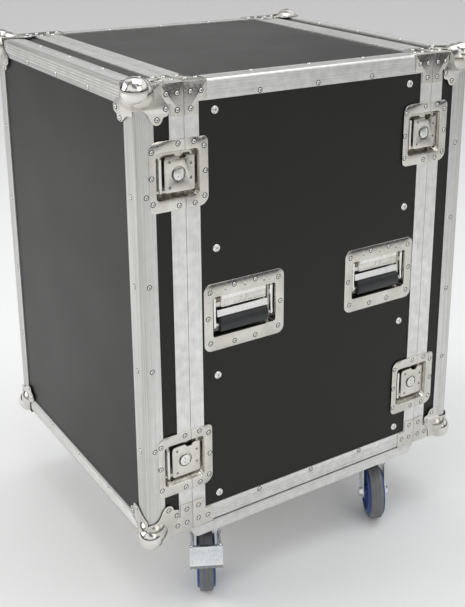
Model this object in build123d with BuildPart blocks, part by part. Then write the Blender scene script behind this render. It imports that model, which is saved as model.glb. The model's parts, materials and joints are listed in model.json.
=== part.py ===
"""Equipment rack case: a 19-inch, 16-unit flight case with two lift-off lids, on castors.

+X is the side with the right-hand handles, -Y is the front lid, +Z is up.
The origin is on the floor, under the middle of the case.
"""
from build123d import *
import os

os.makedirs("parts", exist_ok=True)

# ---------------------------------------------------------------- driving dimensions (mm)
case_width = 550.0           # over the side extrusions
case_height = 742.0          # over the top and bottom extrusions, without castors
body_depth = 476.0           # of the open sleeve, from seam to seam
lid_depth = 80.0             # of each lift-off lid
seam_gap = 0.6               # between a closed lid and the body
board_thickness = 20.0       # castor board under the body
board_corner = 12.0          # rounding of its lower edges at the seams

panel_thickness = 9.0        # laminated plywood
fit_gap = 0.2                # between a panel and the metal that holds it
edging_face = 31.0           # leg of the corner angle extrusion
edging_wall = 2.0
edging_radius = 5.0
groove_width = 1.4
groove_depth = 0.6
groove_pitch = 4.5
groove_count = 4
groove_start = 8.0
rim_face = 24.0              # visible width of the tongue and groove extrusion
rim_web = 3.0
rim_inner_leg = 12.0
tongue_inset = 4.5
tongue_width = 3.2
tongue_height = 4.2
tongue_clearance = 0.5
mitre_gap = 0.2
sheet = 1.2                  # pressed steel of dishes, corners and braces
sheet_draft = 18.0           # slope of a dish's walls, degrees

rack_height = 711.2          # sixteen rack units
rack_unit = 44.45
rack_rows = 16
rack_hole_offsets = (6.35, 22.225, 38.1)
rack_hole_spacing = 465.1    # between the left and right columns of rack holes
rack_hole_radius = 3.25
rack_opening = 450.0         # clear width between the rails
rail_sheet = 2.0
rail_side_leg = 30.0
rail_standoff = 12.0         # spacer sleeve between the side panel and the rail
spacer_radius = 8.0
front_rail_setback = 52.0    # seam to the column of rail screws
rear_rail_setback = 47.0
screw_pitch = 215.8
screw_rows = 4
screw_cup_radius = 6.5
screw_cup_height = 2.2
screw_radius = 3.0
screw_hole_clearance = 0.2
nut_radius = 5.5
nut_height = 5.0

latch_top_drop = 136.0       # latch centre below the top of the case
latch_bottom_rise = 129.0    # latch centre above the bottom of the case
latch_half_height = 53.5
latch_work_reach = 58.5      # flange over the working half, from the seam
latch_keep_reach = 38.5      # flange over the keeper half, from the seam
latch_radius = 9.0
recess_half_height = 36.0
recess_work_reach = 47.5
recess_keep_reach = 24.5
recess_depth = 13.0
recess_radius = 8.0
cutout_clearance = 0.8
hook_reach_back = 31.6       # hook plate, from the seam
hook_reach_over = 18.5
hook_half_height = 27.0
hook_thickness = 1.4
hook_sink = 4.2              # hook plate's face below the flange's underside
hub_offset = 8.5             # cam centre, from the seam
hub_radius = 11.0
wing_radius = 9.5
wing_thickness = 1.6
wing_hinge_offset = 5.5
wing_barrel_radius = 1.2
keeper_reach = 15.0
keeper_thickness = 2.0
keeper_half_height = 20.0
keeper_clearance = 1.0

handle_length = 149.0
handle_height = 114.0
handle_radius = 13.0
handle_recess_length = 117.0
handle_recess_height = 67.0
handle_recess_depth = 15.0
handle_recess_radius = 4.0
handle_draft = 6.0
handle_drop = 6.6            # handle centre below mid height
front_handle_gap = 4.2       # between a rim and the flange of the handle next to it
rear_handle_gap = 0.2
bail_rise = 27.0             # pivot above the handle's centre
bail_sink = 6.0              # pivot below the flange's underside
bail_inner = 50.5            # arms, from the handle's centre line
bail_thickness = 5.0
bail_width = 8.0
bail_pin_radius = 2.0
grip_drop = 17.0             # grip centre below the handle's centre
grip_height = 25.0
grip_thickness = 15.0
grip_half_length = 45.0
spring_cover_half = 42.0
spring_cover_height = 23.0

ball_radius = 21.0
ball_inset = 9.0
corner_plate = 38.0
corner_lobe_near = 36.0
corner_lobe_far = 50.4
corner_lobe_radius = 10.5
corner_lift = 1.3            # the corner laps over the brace

brace_leg_width = 22.0
brace_drop = 51.0
brace_reach = 38.0
brace_band = 29.0

rivet_radius = 3.3
rivet_crown = 1.9            # flat top of the head
rivet_rise = 1.5
rivet_shank = 1.7
rivet_grip = 4.0
edging_rivet_inset = 26.0
edging_rivet_pitch = 108.0
lid_side_rivet_pitch = 138.6
lid_top_rivet_pitch = 125.0

castor_side_inset = 56.0
castor_seam_inset = 54.0
castor_heading = -28.5       # way the right-hand castors trail, degrees from +X
castor_plate_length = 100.0
castor_plate_width = 84.0
castor_plate_sheet = 3.0
castor_bolt_x = 40.0
castor_bolt_y = 30.0
castor_bolt_radius = 6.5
castor_bolt_head = 5.0
wheel_radius = 50.0
wheel_trail = 35.0
tread_thickness = 6.0
core_half_width = 15.5
hub_half_width = 17.0
tread_width = 23.0
tread_round = 3.5
axle_radius = 5.0
running_clearance = 0.05
fork_gap = 39.0
fork_sheet = 3.0
kingpin_radius = 6.0
moving_gap = 0.3
pedal_sheet = 2.5
pedal_half_width = 27.5
pivot_reach = 18.0           # pedal pivot, ahead of the kingpin
pivot_drop = 8.0             # pedal pivot, below the top of the wheel
knee_reach = 70.0            # where the arms meet the pedal plate
knee_rise = 2.0
pedal_pin_radius = 3.0
pedal_pin_length = 4.0
pedal_points = ((66, 1), (69, 0), (85, -24), (89, -26), (91, -24), (88, -21), (72, 4), (66, 4))
crown_length = 54.0
crown_centre = 5.0           # ahead of the kingpin
crown_band = 8.0             # straight upper part of the fork legs
race_radius = 24.0
race_flare = 30.0
kingpin_nut_radius = 9.0
kingpin_nut_height = 6.0
axle_boss_radius = 13.0
axle_nut_radius = 8.0
axle_nut_height = 5.0
hub_radius_outer = 14.0
web_half_width = 6.0
web_inner_radius = 17.0
web_flare = 3.0              # between the web and the rim of the core
core_lip = 3.0
core_rim = 9.0
crown_rise = 9.0             # top of the yoke, above the wheel
race_height = 4.0
board_rise = 25.0            # underside of the castor board, above the wheel

# ---------------------------------------------------------------- derived positions
wheel_top = 2 * wheel_radius
castor_height = wheel_top + board_rise
case_bottom = castor_height + board_thickness
case_top = case_bottom + case_height
case_mid = case_bottom + case_height / 2
side_x = case_width / 2
half_height = case_height / 2
body_end = body_depth / 2
lid_start = body_end + seam_gap
lid_end = lid_start + lid_depth
seam_y = body_end + seam_gap / 2
panel_face = side_x - edging_wall
panel_inner = panel_face - panel_thickness
rail_outer = panel_inner - rail_standoff
rim_inner = edging_wall + panel_thickness + fit_gap
rim_depth = rim_inner + edging_wall
lid_web = tongue_height + tongue_clearance + 1.5
latch_levels = (case_top - latch_top_drop, case_bottom + latch_bottom_rise)
handle_z = case_mid - handle_drop
handle_reach = body_end - rim_face - handle_length / 2
front_handle_y = front_handle_gap - handle_reach
rear_handle_y = handle_reach - rear_handle_gap
handle_ys = (front_handle_y, rear_handle_y)
screw_levels = [
    case_mid + screw_pitch * (row - (screw_rows - 1) / 2) for row in range(screw_rows)
]
rail_screw_ys = (-body_end + front_rail_setback, body_end - rear_rail_setback)


def finish(builder, label):
    """Name a finished piece and write it to its own file."""
    builder.part.label = label
    export_step(builder.part, f"parts/{label}.step")


def across(y, facing=1):
    """Plane square to the case's depth, centred at mid height, facing +Y or -Y."""
    return Plane(origin=(0, y, case_mid), x_dir=(1, 0, 0), z_dir=(0, facing, 0))


def side_plane(side, y, z, lift=0.0):
    """Plane on a side face: x runs to the viewer's right, y up, z outwards."""
    return Plane(
        origin=(side * (side_x + lift), side * y, z), x_dir=(0, side, 0), z_dir=(side, 0, 0)
    )


def cap_plane(top, x, y, lift=0.0):
    """Plane on the top face (1) or the bottom face (-1), facing outwards."""
    z = case_mid + top * (half_height + lift)
    return Plane(origin=(x, y, z), x_dir=(1, 0, 0), z_dir=(0, 0, top))


def ring(plane, outer_inset, inner_inset):
    """Rectangular band between two distances in from the outer faces of the case."""
    with BuildSketch(plane) as band:
        width = case_width - 2 * outer_inset
        height = case_height - 2 * outer_inset
        if outer_inset > 0:
            Rectangle(width, height)
        else:
            RectangleRounded(width, height, edging_radius)
        Rectangle(
            case_width - 2 * inner_inset, case_height - 2 * inner_inset, mode=Mode.SUBTRACT
        )
    return band.sketch


def mitre_cuts(plane, reach):
    """Saw kerfs at 45 degrees through the four corners of a frame."""
    with BuildSketch(plane) as kerfs:
        for sx in (1, -1):
            for sz in (1, -1):
                with Locations(Location((sx * side_x, sz * half_height, 0), (0, 0, 45 * sx * sz))):
                    Rectangle(3 * reach, mitre_gap)
    return kerfs.sketch


# Where each latch sits, as side, seam (in that side's own left-to-right direction), the part
# that carries the working half, on the left from outside, and the part with the keeper.
latch_sites = {
    "front_right": (1, -1, "front_lid", "body"),
    "rear_right": (1, 1, "body", "rear_lid"),
    "rear_left": (-1, -1, "rear_lid", "body"),
    "front_left": (-1, 1, "body", "front_lid"),
}


def latch_planes(owner, half):
    """Planes of the latch halves riveted to one part; half is "work" or "keep"."""
    planes = []
    for side, seam, working, keeping in latch_sites.values():
        if owner == (working if half == "work" else keeping):
            planes += [side_plane(side, seam * seam_y, z) for z in latch_levels]
    return planes


def recess_outline(owner):
    """Cut-outs that one part needs for its halves of the latch dishes."""
    outlines = []
    for half, direction, reach in (("work", -1, recess_work_reach), ("keep", 1, recess_keep_reach)):
        for plane in latch_planes(owner, half):
            with BuildSketch(plane) as cut:
                outer = reach + sheet + cutout_clearance
                length = outer + 2 * tongue_height
                with Locations((direction * (outer - length / 2), 0)):
                    Rectangle(length, 2 * (recess_half_height + sheet + cutout_clearance))
            outlines.append(cut.sketch)
    return outlines


# ---------------------------------------------------------------- panels of the body
# Black laminated plywood; the sides are cut out for the handle and latch dishes.
panel_half_depth = body_end - rim_web - fit_gap


def side_panel(side):
    """One side panel, with cut-outs for dishes and holes for the rail screws."""
    with BuildPart() as panel:
        with Locations((side * (panel_face - panel_thickness / 2), 0, case_mid)):
            Box(
                panel_thickness,
                2 * panel_half_depth,
                case_height - 2 * edging_wall - 2 * fit_gap,
            )
        with BuildSketch(*[side_plane(side, y, handle_z) for y in handle_ys]) as openings:
            RectangleRounded(
                handle_recess_length + 2 * (sheet + cutout_clearance),
                handle_recess_height + 2 * (sheet + cutout_clearance),
                handle_recess_radius,
            )
        extrude(openings.sketch, amount=-2 * rim_depth, mode=Mode.SUBTRACT)
        for cut in recess_outline("body"):
            if cut.bounding_box().center().X * side > 0:
                extrude(cut, amount=-2 * rim_depth, mode=Mode.SUBTRACT)
        with BuildSketch(
            *[side_plane(side, side * y, z) for y in rail_screw_ys for z in screw_levels]
        ) as holes:
            Circle(screw_radius + screw_hole_clearance)
        extrude(holes.sketch, amount=-2 * rim_depth, mode=Mode.SUBTRACT)
    return panel


side_panel_right = side_panel(1)
finish(side_panel_right, "side_panel_right")
side_panel_left = side_panel(-1)
finish(side_panel_left, "side_panel_left")


def cap_panel(top):
    """Top (1) or bottom (-1) panel, between the two sides."""
    with BuildPart() as panel:
        middle = case_mid + top * (half_height - edging_wall - panel_thickness / 2)
        with Locations((0, 0, middle)):
            Box(2 * (panel_inner - fit_gap), 2 * panel_half_depth, panel_thickness)
    return panel


top_panel = cap_panel(1)
finish(top_panel, "top_panel")
bottom_panel = cap_panel(-1)
finish(bottom_panel, "bottom_panel")

# ---------------------------------------------------------------- castor board
# Metal-faced board under the body that carries the castors, rounded at the seams.
with BuildPart() as castor_board:
    with Locations((0, 0, castor_height + board_thickness / 2)):
        Box(case_width, body_depth, board_thickness)
    fillet(castor_board.edges().filter_by(Axis.X).group_by(Axis.Z)[0], board_corner)
    for sx in (1, -1):
        for sy in (1, -1):
            with Locations((sx * side_x, sy * body_end, case_bottom)):
                Box(
                    2 * (brace_drop + cutout_clearance),
                    2 * (brace_reach + cutout_clearance),
                    2 * (sheet + fit_gap),
                    mode=Mode.SUBTRACT,
                )
finish(castor_board, "castor_board")


# ---------------------------------------------------------------- angle edging
def angle_section(plane, grooved):
    """Section of the corner angle, from its outer corner, with legs towards -x and -y."""
    with BuildSketch(plane) as section:
        with BuildLine():
            Line((-edging_face, 0), (-edging_radius, 0))
            TangentArc((-edging_radius, 0), (0, -edging_radius), tangent=(1, 0))
            Polyline(
                (0, -edging_radius),
                (0, -edging_face),
                (-edging_wall, -edging_face),
                (-edging_wall, -edging_wall),
                (-edging_face, -edging_wall),
                (-edging_face, 0),
            )
        make_face()
        if grooved:
            for number in range(groove_count):
                step = groove_start + number * groove_pitch
                with Locations((-step, 0)):
                    Rectangle(groove_width, 2 * groove_depth, mode=Mode.SUBTRACT)
                with Locations((0, -step)):
                    Rectangle(2 * groove_depth, groove_width, mode=Mode.SUBTRACT)
    return section.sketch


def depth_corner_plane(sx, sz, y_low, y_high):
    """Plane at one long corner of the case, for a section that is drawn along the depth."""
    facing = -sx * sz
    start = y_low if facing > 0 else y_high
    return Plane(
        origin=(sx * side_x, start, case_mid + sz * half_height),
        x_dir=(sx, 0, 0),
        z_dir=(0, facing, 0),
    )


corners = [(sx, sz) for sx in (1, -1) for sz in (1, -1)]

with BuildPart() as body_edging:
    edging_run = body_end - rim_face - fit_gap
    for sx, sz in corners:
        section = angle_section(depth_corner_plane(sx, sz, -edging_run, edging_run), True)
        extrude(section, amount=2 * edging_run)
finish(body_edging, "body_edging")


# ---------------------------------------------------------------- tongue rims of the body
def body_rim(end):
    """Extrusion round one open end of the sleeve, with its tongue; end is -1 or 1."""
    inward = -end
    seam = across(end * body_end, inward)
    with BuildPart() as rim:
        extrude(ring(seam, 0, edging_wall), amount=rim_face)
        extrude(ring(seam, edging_wall - fit_gap, rim_depth), amount=rim_web)
        extrude(ring(seam, rim_inner, rim_depth), amount=rim_inner_leg)
        extrude(ring(seam, tongue_inset, tongue_inset + tongue_width), amount=-tongue_height)
        kerf_plane = across(end * (body_end + 2 * tongue_height), inward)
        extrude(
            mitre_cuts(kerf_plane, rim_depth),
            amount=rim_face + 4 * tongue_height,
            mode=Mode.SUBTRACT,
        )
        for cut in recess_outline("body"):
            extrude(cut, amount=-2 * rim_depth, mode=Mode.SUBTRACT)
    return rim


body_rim_front = body_rim(-1)
finish(body_rim_front, "body_rim_front")
body_rim_rear = body_rim(1)
finish(body_rim_rear, "body_rim_rear")


# ---------------------------------------------------------------- rack rails
def rail_pair(face_y, back, screw_y):
    """Left and right rails whose faces stand at face_y; back is the way the legs run."""
    face_plane = Plane(origin=(0, face_y, case_mid), x_dir=(1, 0, 0), z_dir=(0, back, 0))
    with BuildPart() as pair:
        for side in (1, -1):
            width = rail_outer - rack_opening / 2
            with BuildSketch(face_plane) as face:
                with Locations((side * (rack_opening / 2 + width / 2), 0)):
                    Rectangle(width, rack_height)
            extrude(face.sketch, amount=rail_sheet)
            with BuildSketch(face_plane) as leg:
                with Locations((side * (rail_outer - rail_sheet / 2), 0)):
                    Rectangle(rail_sheet, rack_height)
            extrude(leg.sketch, amount=rail_side_leg)
            with BuildSketch(side_plane(side, side * screw_y, case_mid)) as leg_holes:
                with Locations(*[(0, z - case_mid) for z in screw_levels]):
                    Circle(screw_radius + screw_hole_clearance)
            reach = side_x - rail_outer + 2 * rail_sheet
            extrude(leg_holes.sketch, amount=-reach, mode=Mode.SUBTRACT)
        with BuildSketch(face_plane) as holes:
            for column in (1, -1):
                for row in range(rack_rows):
                    for offset in rack_hole_offsets:
                        height = row * rack_unit + offset - rack_height / 2
                        with Locations((column * rack_hole_spacing / 2, height)):
                            Circle(rack_hole_radius)
        extrude(holes.sketch, amount=rail_sheet, mode=Mode.SUBTRACT)
    return pair


front_rail_face = rail_screw_ys[0] - rail_side_leg / 2
rear_rail_face = rail_screw_ys[1] + rail_side_leg / 2
front_rails = rail_pair(front_rail_face, 1, rail_screw_ys[0])
rear_rails = rail_pair(rear_rail_face, -1, rail_screw_ys[1])
with BuildPart() as rack_rails:
    add(front_rails.part)
    add(rear_rails.part)
finish(rack_rails, "rack_rails")

# ---------------------------------------------------------------- corner braces
# Folded L plates riveted over the edging on each side of a seam, at its four corners.
with BuildPart() as brace:
    for face_plane in (
        Plane(origin=(0, 0, 0), x_dir=(0, 1, 0), z_dir=(0, 0, 1)),
        Plane(origin=(0, 0, 0), x_dir=(0, 1, 0), z_dir=(1, 0, 0)),
    ):
        flip = 1 if face_plane.z_dir.Z > 0.5 else -1
        with BuildSketch(face_plane) as plate:
            with Locations((brace_leg_width / 2, flip * brace_drop / 2)):
                Rectangle(brace_leg_width, brace_drop)
            with Locations((brace_reach / 2, flip * brace_band / 2)):
                Rectangle(brace_reach, brace_band)
            fillet(plate.vertices().group_by(Axis.Y)[-1], 2)
        extrude(plate.sketch, amount=sheet)
    with BuildSketch(Plane.XZ.offset(-brace_reach)) as fold:
        Rectangle(2 * sheet, 2 * sheet)
        with Locations((-sheet, -sheet)):
            Rectangle(2 * sheet, 2 * sheet, mode=Mode.SUBTRACT)
    extrude(fold.sketch, amount=brace_reach)


def brace_planes(seam_start, away):
    """Planes of the four braces beside one seam; away is the way they run from it."""
    planes = []
    for sx, sz in corners:
        corner = (sx * side_x, seam_start, case_mid + sz * half_height)
        if sx * away * sz > 0:
            planes.append(Plane(origin=corner, x_dir=(sx, 0, 0), z_dir=(0, 0, sz)))
        else:
            planes.append(Plane(origin=corner, x_dir=(0, 0, sz), z_dir=(sx, 0, 0)))
    return planes


with BuildPart() as body_braces:
    for end in (-1, 1):
        with Locations(*brace_planes(end * body_end, -end)):
            add(brace.part)
finish(body_braces, "body_braces")

# ---------------------------------------------------------------- latch dishes
# One pressed dish, split at the seam: the working half holds the hook plate and the cam,
# the keeper half holds the lip that the hook reaches over.
dish_length = recess_work_reach + recess_keep_reach
dish_middle = (recess_keep_reach - recess_work_reach) / 2
dish_floor = sheet - recess_depth

with BuildPart() as whole_dish:
    with BuildSketch() as flange:
        with Locations(((latch_keep_reach - latch_work_reach) / 2, 0)):
            RectangleRounded(
                latch_work_reach + latch_keep_reach, 2 * latch_half_height, latch_radius
            )
    extrude(amount=sheet)
    with BuildSketch(Plane(origin=(0, 0, 0), x_dir=(1, 0, 0), z_dir=(0, 0, -1))) as pan:
        with Locations((dish_middle, 0)):
            RectangleRounded(
                dish_length + 2 * sheet, 2 * (recess_half_height + sheet), recess_radius + sheet
            )
    extrude(amount=recess_depth, taper=sheet_draft)
    with BuildSketch(Plane(origin=(0, 0, sheet), x_dir=(1, 0, 0), z_dir=(0, 0, -1))) as hollow:
        with Locations((dish_middle, 0)):
            RectangleRounded(dish_length, 2 * recess_half_height, recess_radius)
    extrude(amount=recess_depth, taper=sheet_draft, mode=Mode.SUBTRACT)


def dish_half(direction):
    """The part of the dish on one side of the seam; -1 is the working half."""
    reach = latch_work_reach + latch_keep_reach
    with BuildPart() as half:
        add(whole_dish.part)
        with Locations((direction * (seam_gap / 2 + reach / 2), 0, 0)):
            Box(reach, 4 * latch_half_height, 4 * recess_depth, mode=Mode.INTERSECT)
    return half


with BuildPart() as working_half:
    add(dish_half(-1).part)
    with Locations((-hub_offset, 0, dish_floor)):
        Cylinder(
            axle_radius,
            recess_depth / 2,
            align=(Align.CENTER, Align.CENTER, Align.MIN),
        )
    hook_back = -hook_sink - hook_thickness
    with BuildSketch(Plane.XY.offset(hook_back)) as hook:
        with Locations(((hook_reach_over - hook_reach_back) / 2, 0)):
            RectangleRounded(hook_reach_over + hook_reach_back, 2 * hook_half_height, 6)
        with Locations((-hub_offset, 0)):
            Circle(hub_radius + moving_gap, mode=Mode.SUBTRACT)
        with Locations((0, hook_half_height)):
            SlotOverall(14, 8, mode=Mode.SUBTRACT)
    extrude(amount=hook_thickness)
    with BuildSketch(Plane.XY.offset(dish_floor)) as spacer:
        with Locations((-hub_offset, 0)):
            Circle(hub_radius + 3)
            Circle(hub_radius + moving_gap, mode=Mode.SUBTRACT)
        with Locations((hook_reach_over / 2 + seam_gap, 0)):
            Rectangle(hook_reach_over + seam_gap, 4 * hub_radius, mode=Mode.SUBTRACT)
    extrude(amount=hook_back - dish_floor)

with BuildPart() as keeper_half:
    add(dish_half(1).part)
    lip_height = hook_back - keeper_clearance - dish_floor
    with Locations((keeper_reach + keeper_thickness / 2, 0, dish_floor)):
        Box(
            keeper_thickness,
            2 * keeper_half_height,
            lip_height,
            align=(Align.CENTER, Align.CENTER, Align.MIN),
        )


def latch_dishes(owner):
    """All latch halves riveted to one part of the case."""
    with BuildPart() as group:
        with Locations(*latch_planes(owner, "work")):
            add(working_half.part)
        with Locations(*latch_planes(owner, "keep")):
            add(keeper_half.part)
    return group


body_latch_dishes = latch_dishes("body")
finish(body_latch_dishes, "body_latch_dishes")

# ---------------------------------------------------------------- latch cams and wings
# The cam turns on the dish's pin; the butterfly wing folds flat on it and flips up to turn it.
hub_top = -hook_sink - moving_gap
with BuildPart() as latch_cam:
    with Locations((-hub_offset, 0, dish_floor + moving_gap)):
        Cylinder(
            hub_radius,
            hub_top - dish_floor - moving_gap,
            align=(Align.CENTER, Align.CENTER, Align.MIN),
        )
    with Locations((-hub_offset, 0, dish_floor)):
        Cylinder(
            axle_radius + running_clearance,
            recess_depth / 2 + moving_gap,
            align=(Align.CENTER, Align.CENTER, Align.MIN),
            mode=Mode.SUBTRACT,
        )
    with BuildSketch(Plane.XY.offset(hub_top)) as crescent:
        with Locations((-hub_offset, 0)):
            Circle(hub_radius)
        with Locations((-hub_offset + 3.5, 0)):
            Circle(hub_radius, mode=Mode.SUBTRACT)
    extrude(crescent.sketch, amount=-2, mode=Mode.SUBTRACT)

wing_axis_x = -hub_offset + wing_hinge_offset
wing_axis_z = hub_top + moving_gap + wing_barrel_radius
with BuildPart() as latch_wing:
    with BuildSketch(Plane.XY.offset(wing_axis_z - wing_thickness / 2)) as flap:
        with Locations((-hub_offset, 0)):
            Circle(wing_radius)
        with Locations((wing_axis_x + wing_radius, 0)):
            Rectangle(2 * wing_radius, 4 * wing_radius, mode=Mode.SUBTRACT)
    extrude(amount=wing_thickness)
    with Locations(Location((wing_axis_x, 0, wing_axis_z), (90, 0, 0))):
        Cylinder(wing_barrel_radius, 1.5 * wing_radius)

levels = {"upper": latch_levels[0], "lower": latch_levels[1]}
for site, (side, seam, working, keeping) in latch_sites.items():
    for level, z in levels.items():
        for word, pattern in (("cam", latch_cam), ("wing", latch_wing)):
            with BuildPart() as placed:
                with Locations(side_plane(side, seam * seam_y, z)):
                    add(pattern.part)
            finish(placed, f"latch_{word}_{site}_{level}")

# ---------------------------------------------------------------- recessed handles
handle_floor = sheet - handle_recess_depth
pin_length = handle_recess_length / 2 - bail_inner + 2
with BuildPart() as handle_dish:
    with BuildSketch() as flange:
        RectangleRounded(handle_length, handle_height, handle_radius)
    extrude(amount=sheet)
    with BuildSketch(Plane(origin=(0, 0, 0), x_dir=(1, 0, 0), z_dir=(0, 0, -1))) as pan:
        RectangleRounded(
            handle_recess_length + 2 * sheet,
            handle_recess_height + 2 * sheet,
            handle_recess_radius,
        )
    extrude(amount=handle_recess_depth, taper=handle_draft)
    with BuildSketch(Plane(origin=(0, 0, sheet), x_dir=(1, 0, 0), z_dir=(0, 0, -1))) as hollow:
        RectangleRounded(handle_recess_length, handle_recess_height, handle_recess_radius)
    extrude(amount=handle_recess_depth, taper=handle_draft, mode=Mode.SUBTRACT)
    for end in (1, -1):
        start = end * (handle_recess_length / 2)
        with BuildSketch(
            Plane(origin=(start, bail_rise, -bail_sink), x_dir=(0, 1, 0), z_dir=(-end, 0, 0))
        ) as pin:
            Circle(bail_pin_radius)
        extrude(pin.sketch, amount=pin_length)
    with Locations((0, handle_recess_height / 2, handle_floor)):
        Box(
            2 * spring_cover_half,
            spring_cover_height,
            handle_recess_depth - 4,
            align=(Align.CENTER, Align.MAX, Align.MIN),
        )

with BuildPart() as handle_dishes:
    with Locations(*[side_plane(s, y, handle_z, -edging_wall) for s in (1, -1) for y in handle_ys]):
        add(handle_dish.part)
finish(handle_dishes, "handle_dishes")

with BuildPart() as carry_handle:
    for end in (1, -1):
        with BuildSketch(
            Plane(origin=(end * bail_inner, 0, -bail_sink), x_dir=(0, 1, 0), z_dir=(end, 0, 0))
        ) as arm:
            with Locations(((bail_rise - grip_drop) / 2, 0)):
                SlotCenterToCenter(bail_rise + grip_drop, bail_width)
            with Locations((bail_rise, 0)):
                Circle(bail_pin_radius + running_clearance, mode=Mode.SUBTRACT)
        extrude(arm.sketch, amount=bail_thickness)
    with BuildSketch(Plane.YZ.offset(-bail_inner)) as bar:
        with Locations((-grip_drop, -bail_sink)):
            Circle(bail_width / 2)
    extrude(bar.sketch, amount=2 * bail_inner)
    with BuildSketch(Plane.YZ.offset(-grip_half_length)) as grip:
        with Locations((-grip_drop, -bail_sink + 2)):
            Ellipse(grip_height / 2, grip_thickness / 2)
    extrude(grip.sketch, amount=2 * grip_half_length)
    with Locations((0, -grip_drop + grip_height / 2, -bail_sink)):
        Box(2 * grip_half_length, 8, 2)

handle_names = {"right_front": (1, front_handle_y), "right_rear": (1, rear_handle_y)}
handle_names |= {"left_rear": (-1, front_handle_y), "left_front": (-1, rear_handle_y)}
for name, (side, y) in handle_names.items():
    with BuildPart() as placed:
        with Locations(side_plane(side, y, handle_z, -edging_wall)):
            add(carry_handle.part)
    finish(placed, f"carry_handle_{name}")

# ---------------------------------------------------------------- ball corners
# Pressed corner: three wing plates and a ball that stands out of the corner.
with BuildPart() as ball_corner:
    for face in (
        Plane(origin=(0, 0, 0), x_dir=(1, 0, 0), z_dir=(0, 0, 1)),
        Plane(origin=(0, 0, 0), x_dir=(0, 1, 0), z_dir=(1, 0, 0)),
        Plane(origin=(0, 0, 0), x_dir=(0, 0, 1), z_dir=(0, 1, 0)),
    ):
        with BuildSketch(face) as wing:
            with Locations((-corner_plate / 2, -corner_plate / 2)):
                Rectangle(corner_plate, corner_plate)
            with BuildSketch() as lobes:
                with Locations(
                    (-corner_lobe_near, -corner_lobe_far),
                    (-corner_lobe_far, -corner_lobe_near),
                    (-corner_lobe_near + corner_lobe_radius, -corner_lobe_near + corner_lobe_radius),
                ):
                    Circle(corner_lobe_radius)
                make_hull()
        extrude(wing.sketch, amount=sheet)
    core = corner_plate + sheet
    with Locations((sheet - core / 2, sheet - core / 2, sheet - core / 2)):
        Box(core, core, core)
    with Locations((-ball_inset, -ball_inset, -ball_inset)):
        Sphere(ball_radius)
    with Locations((-corner_plate, -corner_plate, -corner_plate)):
        Box(2 * corner_plate, 2 * corner_plate, 2 * corner_plate, mode=Mode.SUBTRACT)


def corner_planes(end):
    """Planes of the four ball corners of one lid; end is -1 (front) or 1 (rear)."""
    planes = []
    for sx, sz in corners:
        origin = (
            sx * (side_x + corner_lift),
            end * (lid_end + corner_lift),
            case_mid + sz * (half_height + corner_lift),
        )
        straight = sx * end * sz > 0
        x_dir = (sx, 0, 0) if straight else (0, end, 0)
        planes.append(Plane(origin=origin, x_dir=x_dir, z_dir=(0, 0, sz)))
    return planes


# ---------------------------------------------------------------- rivets
# Pop rivet with a low head; its shank is pressed into the panel behind.
with BuildPart() as rivet:
    with Locations((0, 0, -rivet_grip)):
        Cylinder(rivet_shank, rivet_grip, align=(Align.CENTER, Align.CENTER, Align.MIN))
    Cone(
        rivet_radius,
        rivet_crown,
        rivet_rise,
        align=(Align.CENTER, Align.CENTER, Align.MIN),
    )

latch_work_rivets = ((-54, 38.7), (-54, -38.7), (-55, 0), (-11.2, 46.8), (-11.2, -46.8))
latch_keep_rivets = ((15.2, 46.8), (15.2, -46.8), (31.9, 38.3), (31.9, -38.3), (33.8, 0))
handle_rivets = ((63.6, 43), (19.5, 48.5), (67.5, 0))
brace_rivets = ((10.6, 15.2), (10.6, 40), (28, 15.2))
corner_rivets = ((corner_lobe_near, corner_lobe_far), (corner_lobe_far, corner_lobe_near))


def shifted(plane, x, y, lift):
    """The same plane moved along its own axes."""
    origin = plane.origin + plane.x_dir * x + plane.y_dir * y + plane.z_dir * lift
    return Plane(origin=origin, x_dir=plane.x_dir, z_dir=plane.z_dir)


def dish_rivet_planes(owner):
    """Rivets of one part's latch dishes."""
    spots = []
    for half, pattern in (("work", latch_work_rivets), ("keep", latch_keep_rivets)):
        for plane in latch_planes(owner, half):
            spots += [shifted(plane, x, y, sheet) for x, y in pattern]
    return spots


def face_planes(sx, sz, y):
    """Side-face and top- or bottom-face planes at one corner, y along the case."""
    side_face = side_plane(sx, sx * y, case_mid + sz * half_height)
    cap_face = cap_plane(sz, sx * side_x, y)
    return side_face, cap_face


def corner_spots(sx, sz, y, drop, lift):
    """Two rivet planes at one corner edge, the same distance down each of its faces."""
    side_face, cap_face = face_planes(sx, sz, y)
    return [
        shifted(side_face, 0, -sz * drop, lift),
        shifted(cap_face, -sx * drop, 0, lift),
    ]


def brace_rivet_planes(seam_start, away, underside=True):
    """Rivets of the four braces beside one seam."""
    spots = []
    for sx, sz in corners:
        for along, drop in brace_rivets:
            pair = corner_spots(sx, sz, seam_start + away * along, drop, sheet)
            spots += pair if sz > 0 or underside else pair[:1]
    return spots


def lid_rivet_planes(name, end):
    """All rivets of one lid."""
    spots = dish_rivet_planes(name) + brace_rivet_planes(end * lid_start, end)
    face = across(end * lid_end, end)
    columns = (-1.5, -0.5, 0.5, 1.5)
    side_inset = edging_face / 2 + 1
    top_inset = edging_face - 6
    for side in (1, -1):
        for step in columns:
            height = step * lid_side_rivet_pitch
            spots.append(side_plane(side, side * end * (lid_end - side_inset), case_mid + height))
            spots.append(shifted(face, side * (side_x - side_inset), height, 0))
        for step in (-1, 0, 1):
            along = step * lid_top_rivet_pitch
            spots.append(shifted(face, along, side * (half_height - top_inset), 0))
            spots.append(cap_plane(side, along, end * (lid_end - top_inset)))
    lift = sheet + corner_lift
    for sx, sz in corners:
        for near, far in corner_rivets:
            spots += corner_spots(sx, sz, end * (lid_end - near), far, lift)
            spots.append(shifted(face, sx * (side_x - near), -end * sz * (half_height - far), lift))
    return spots


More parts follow.
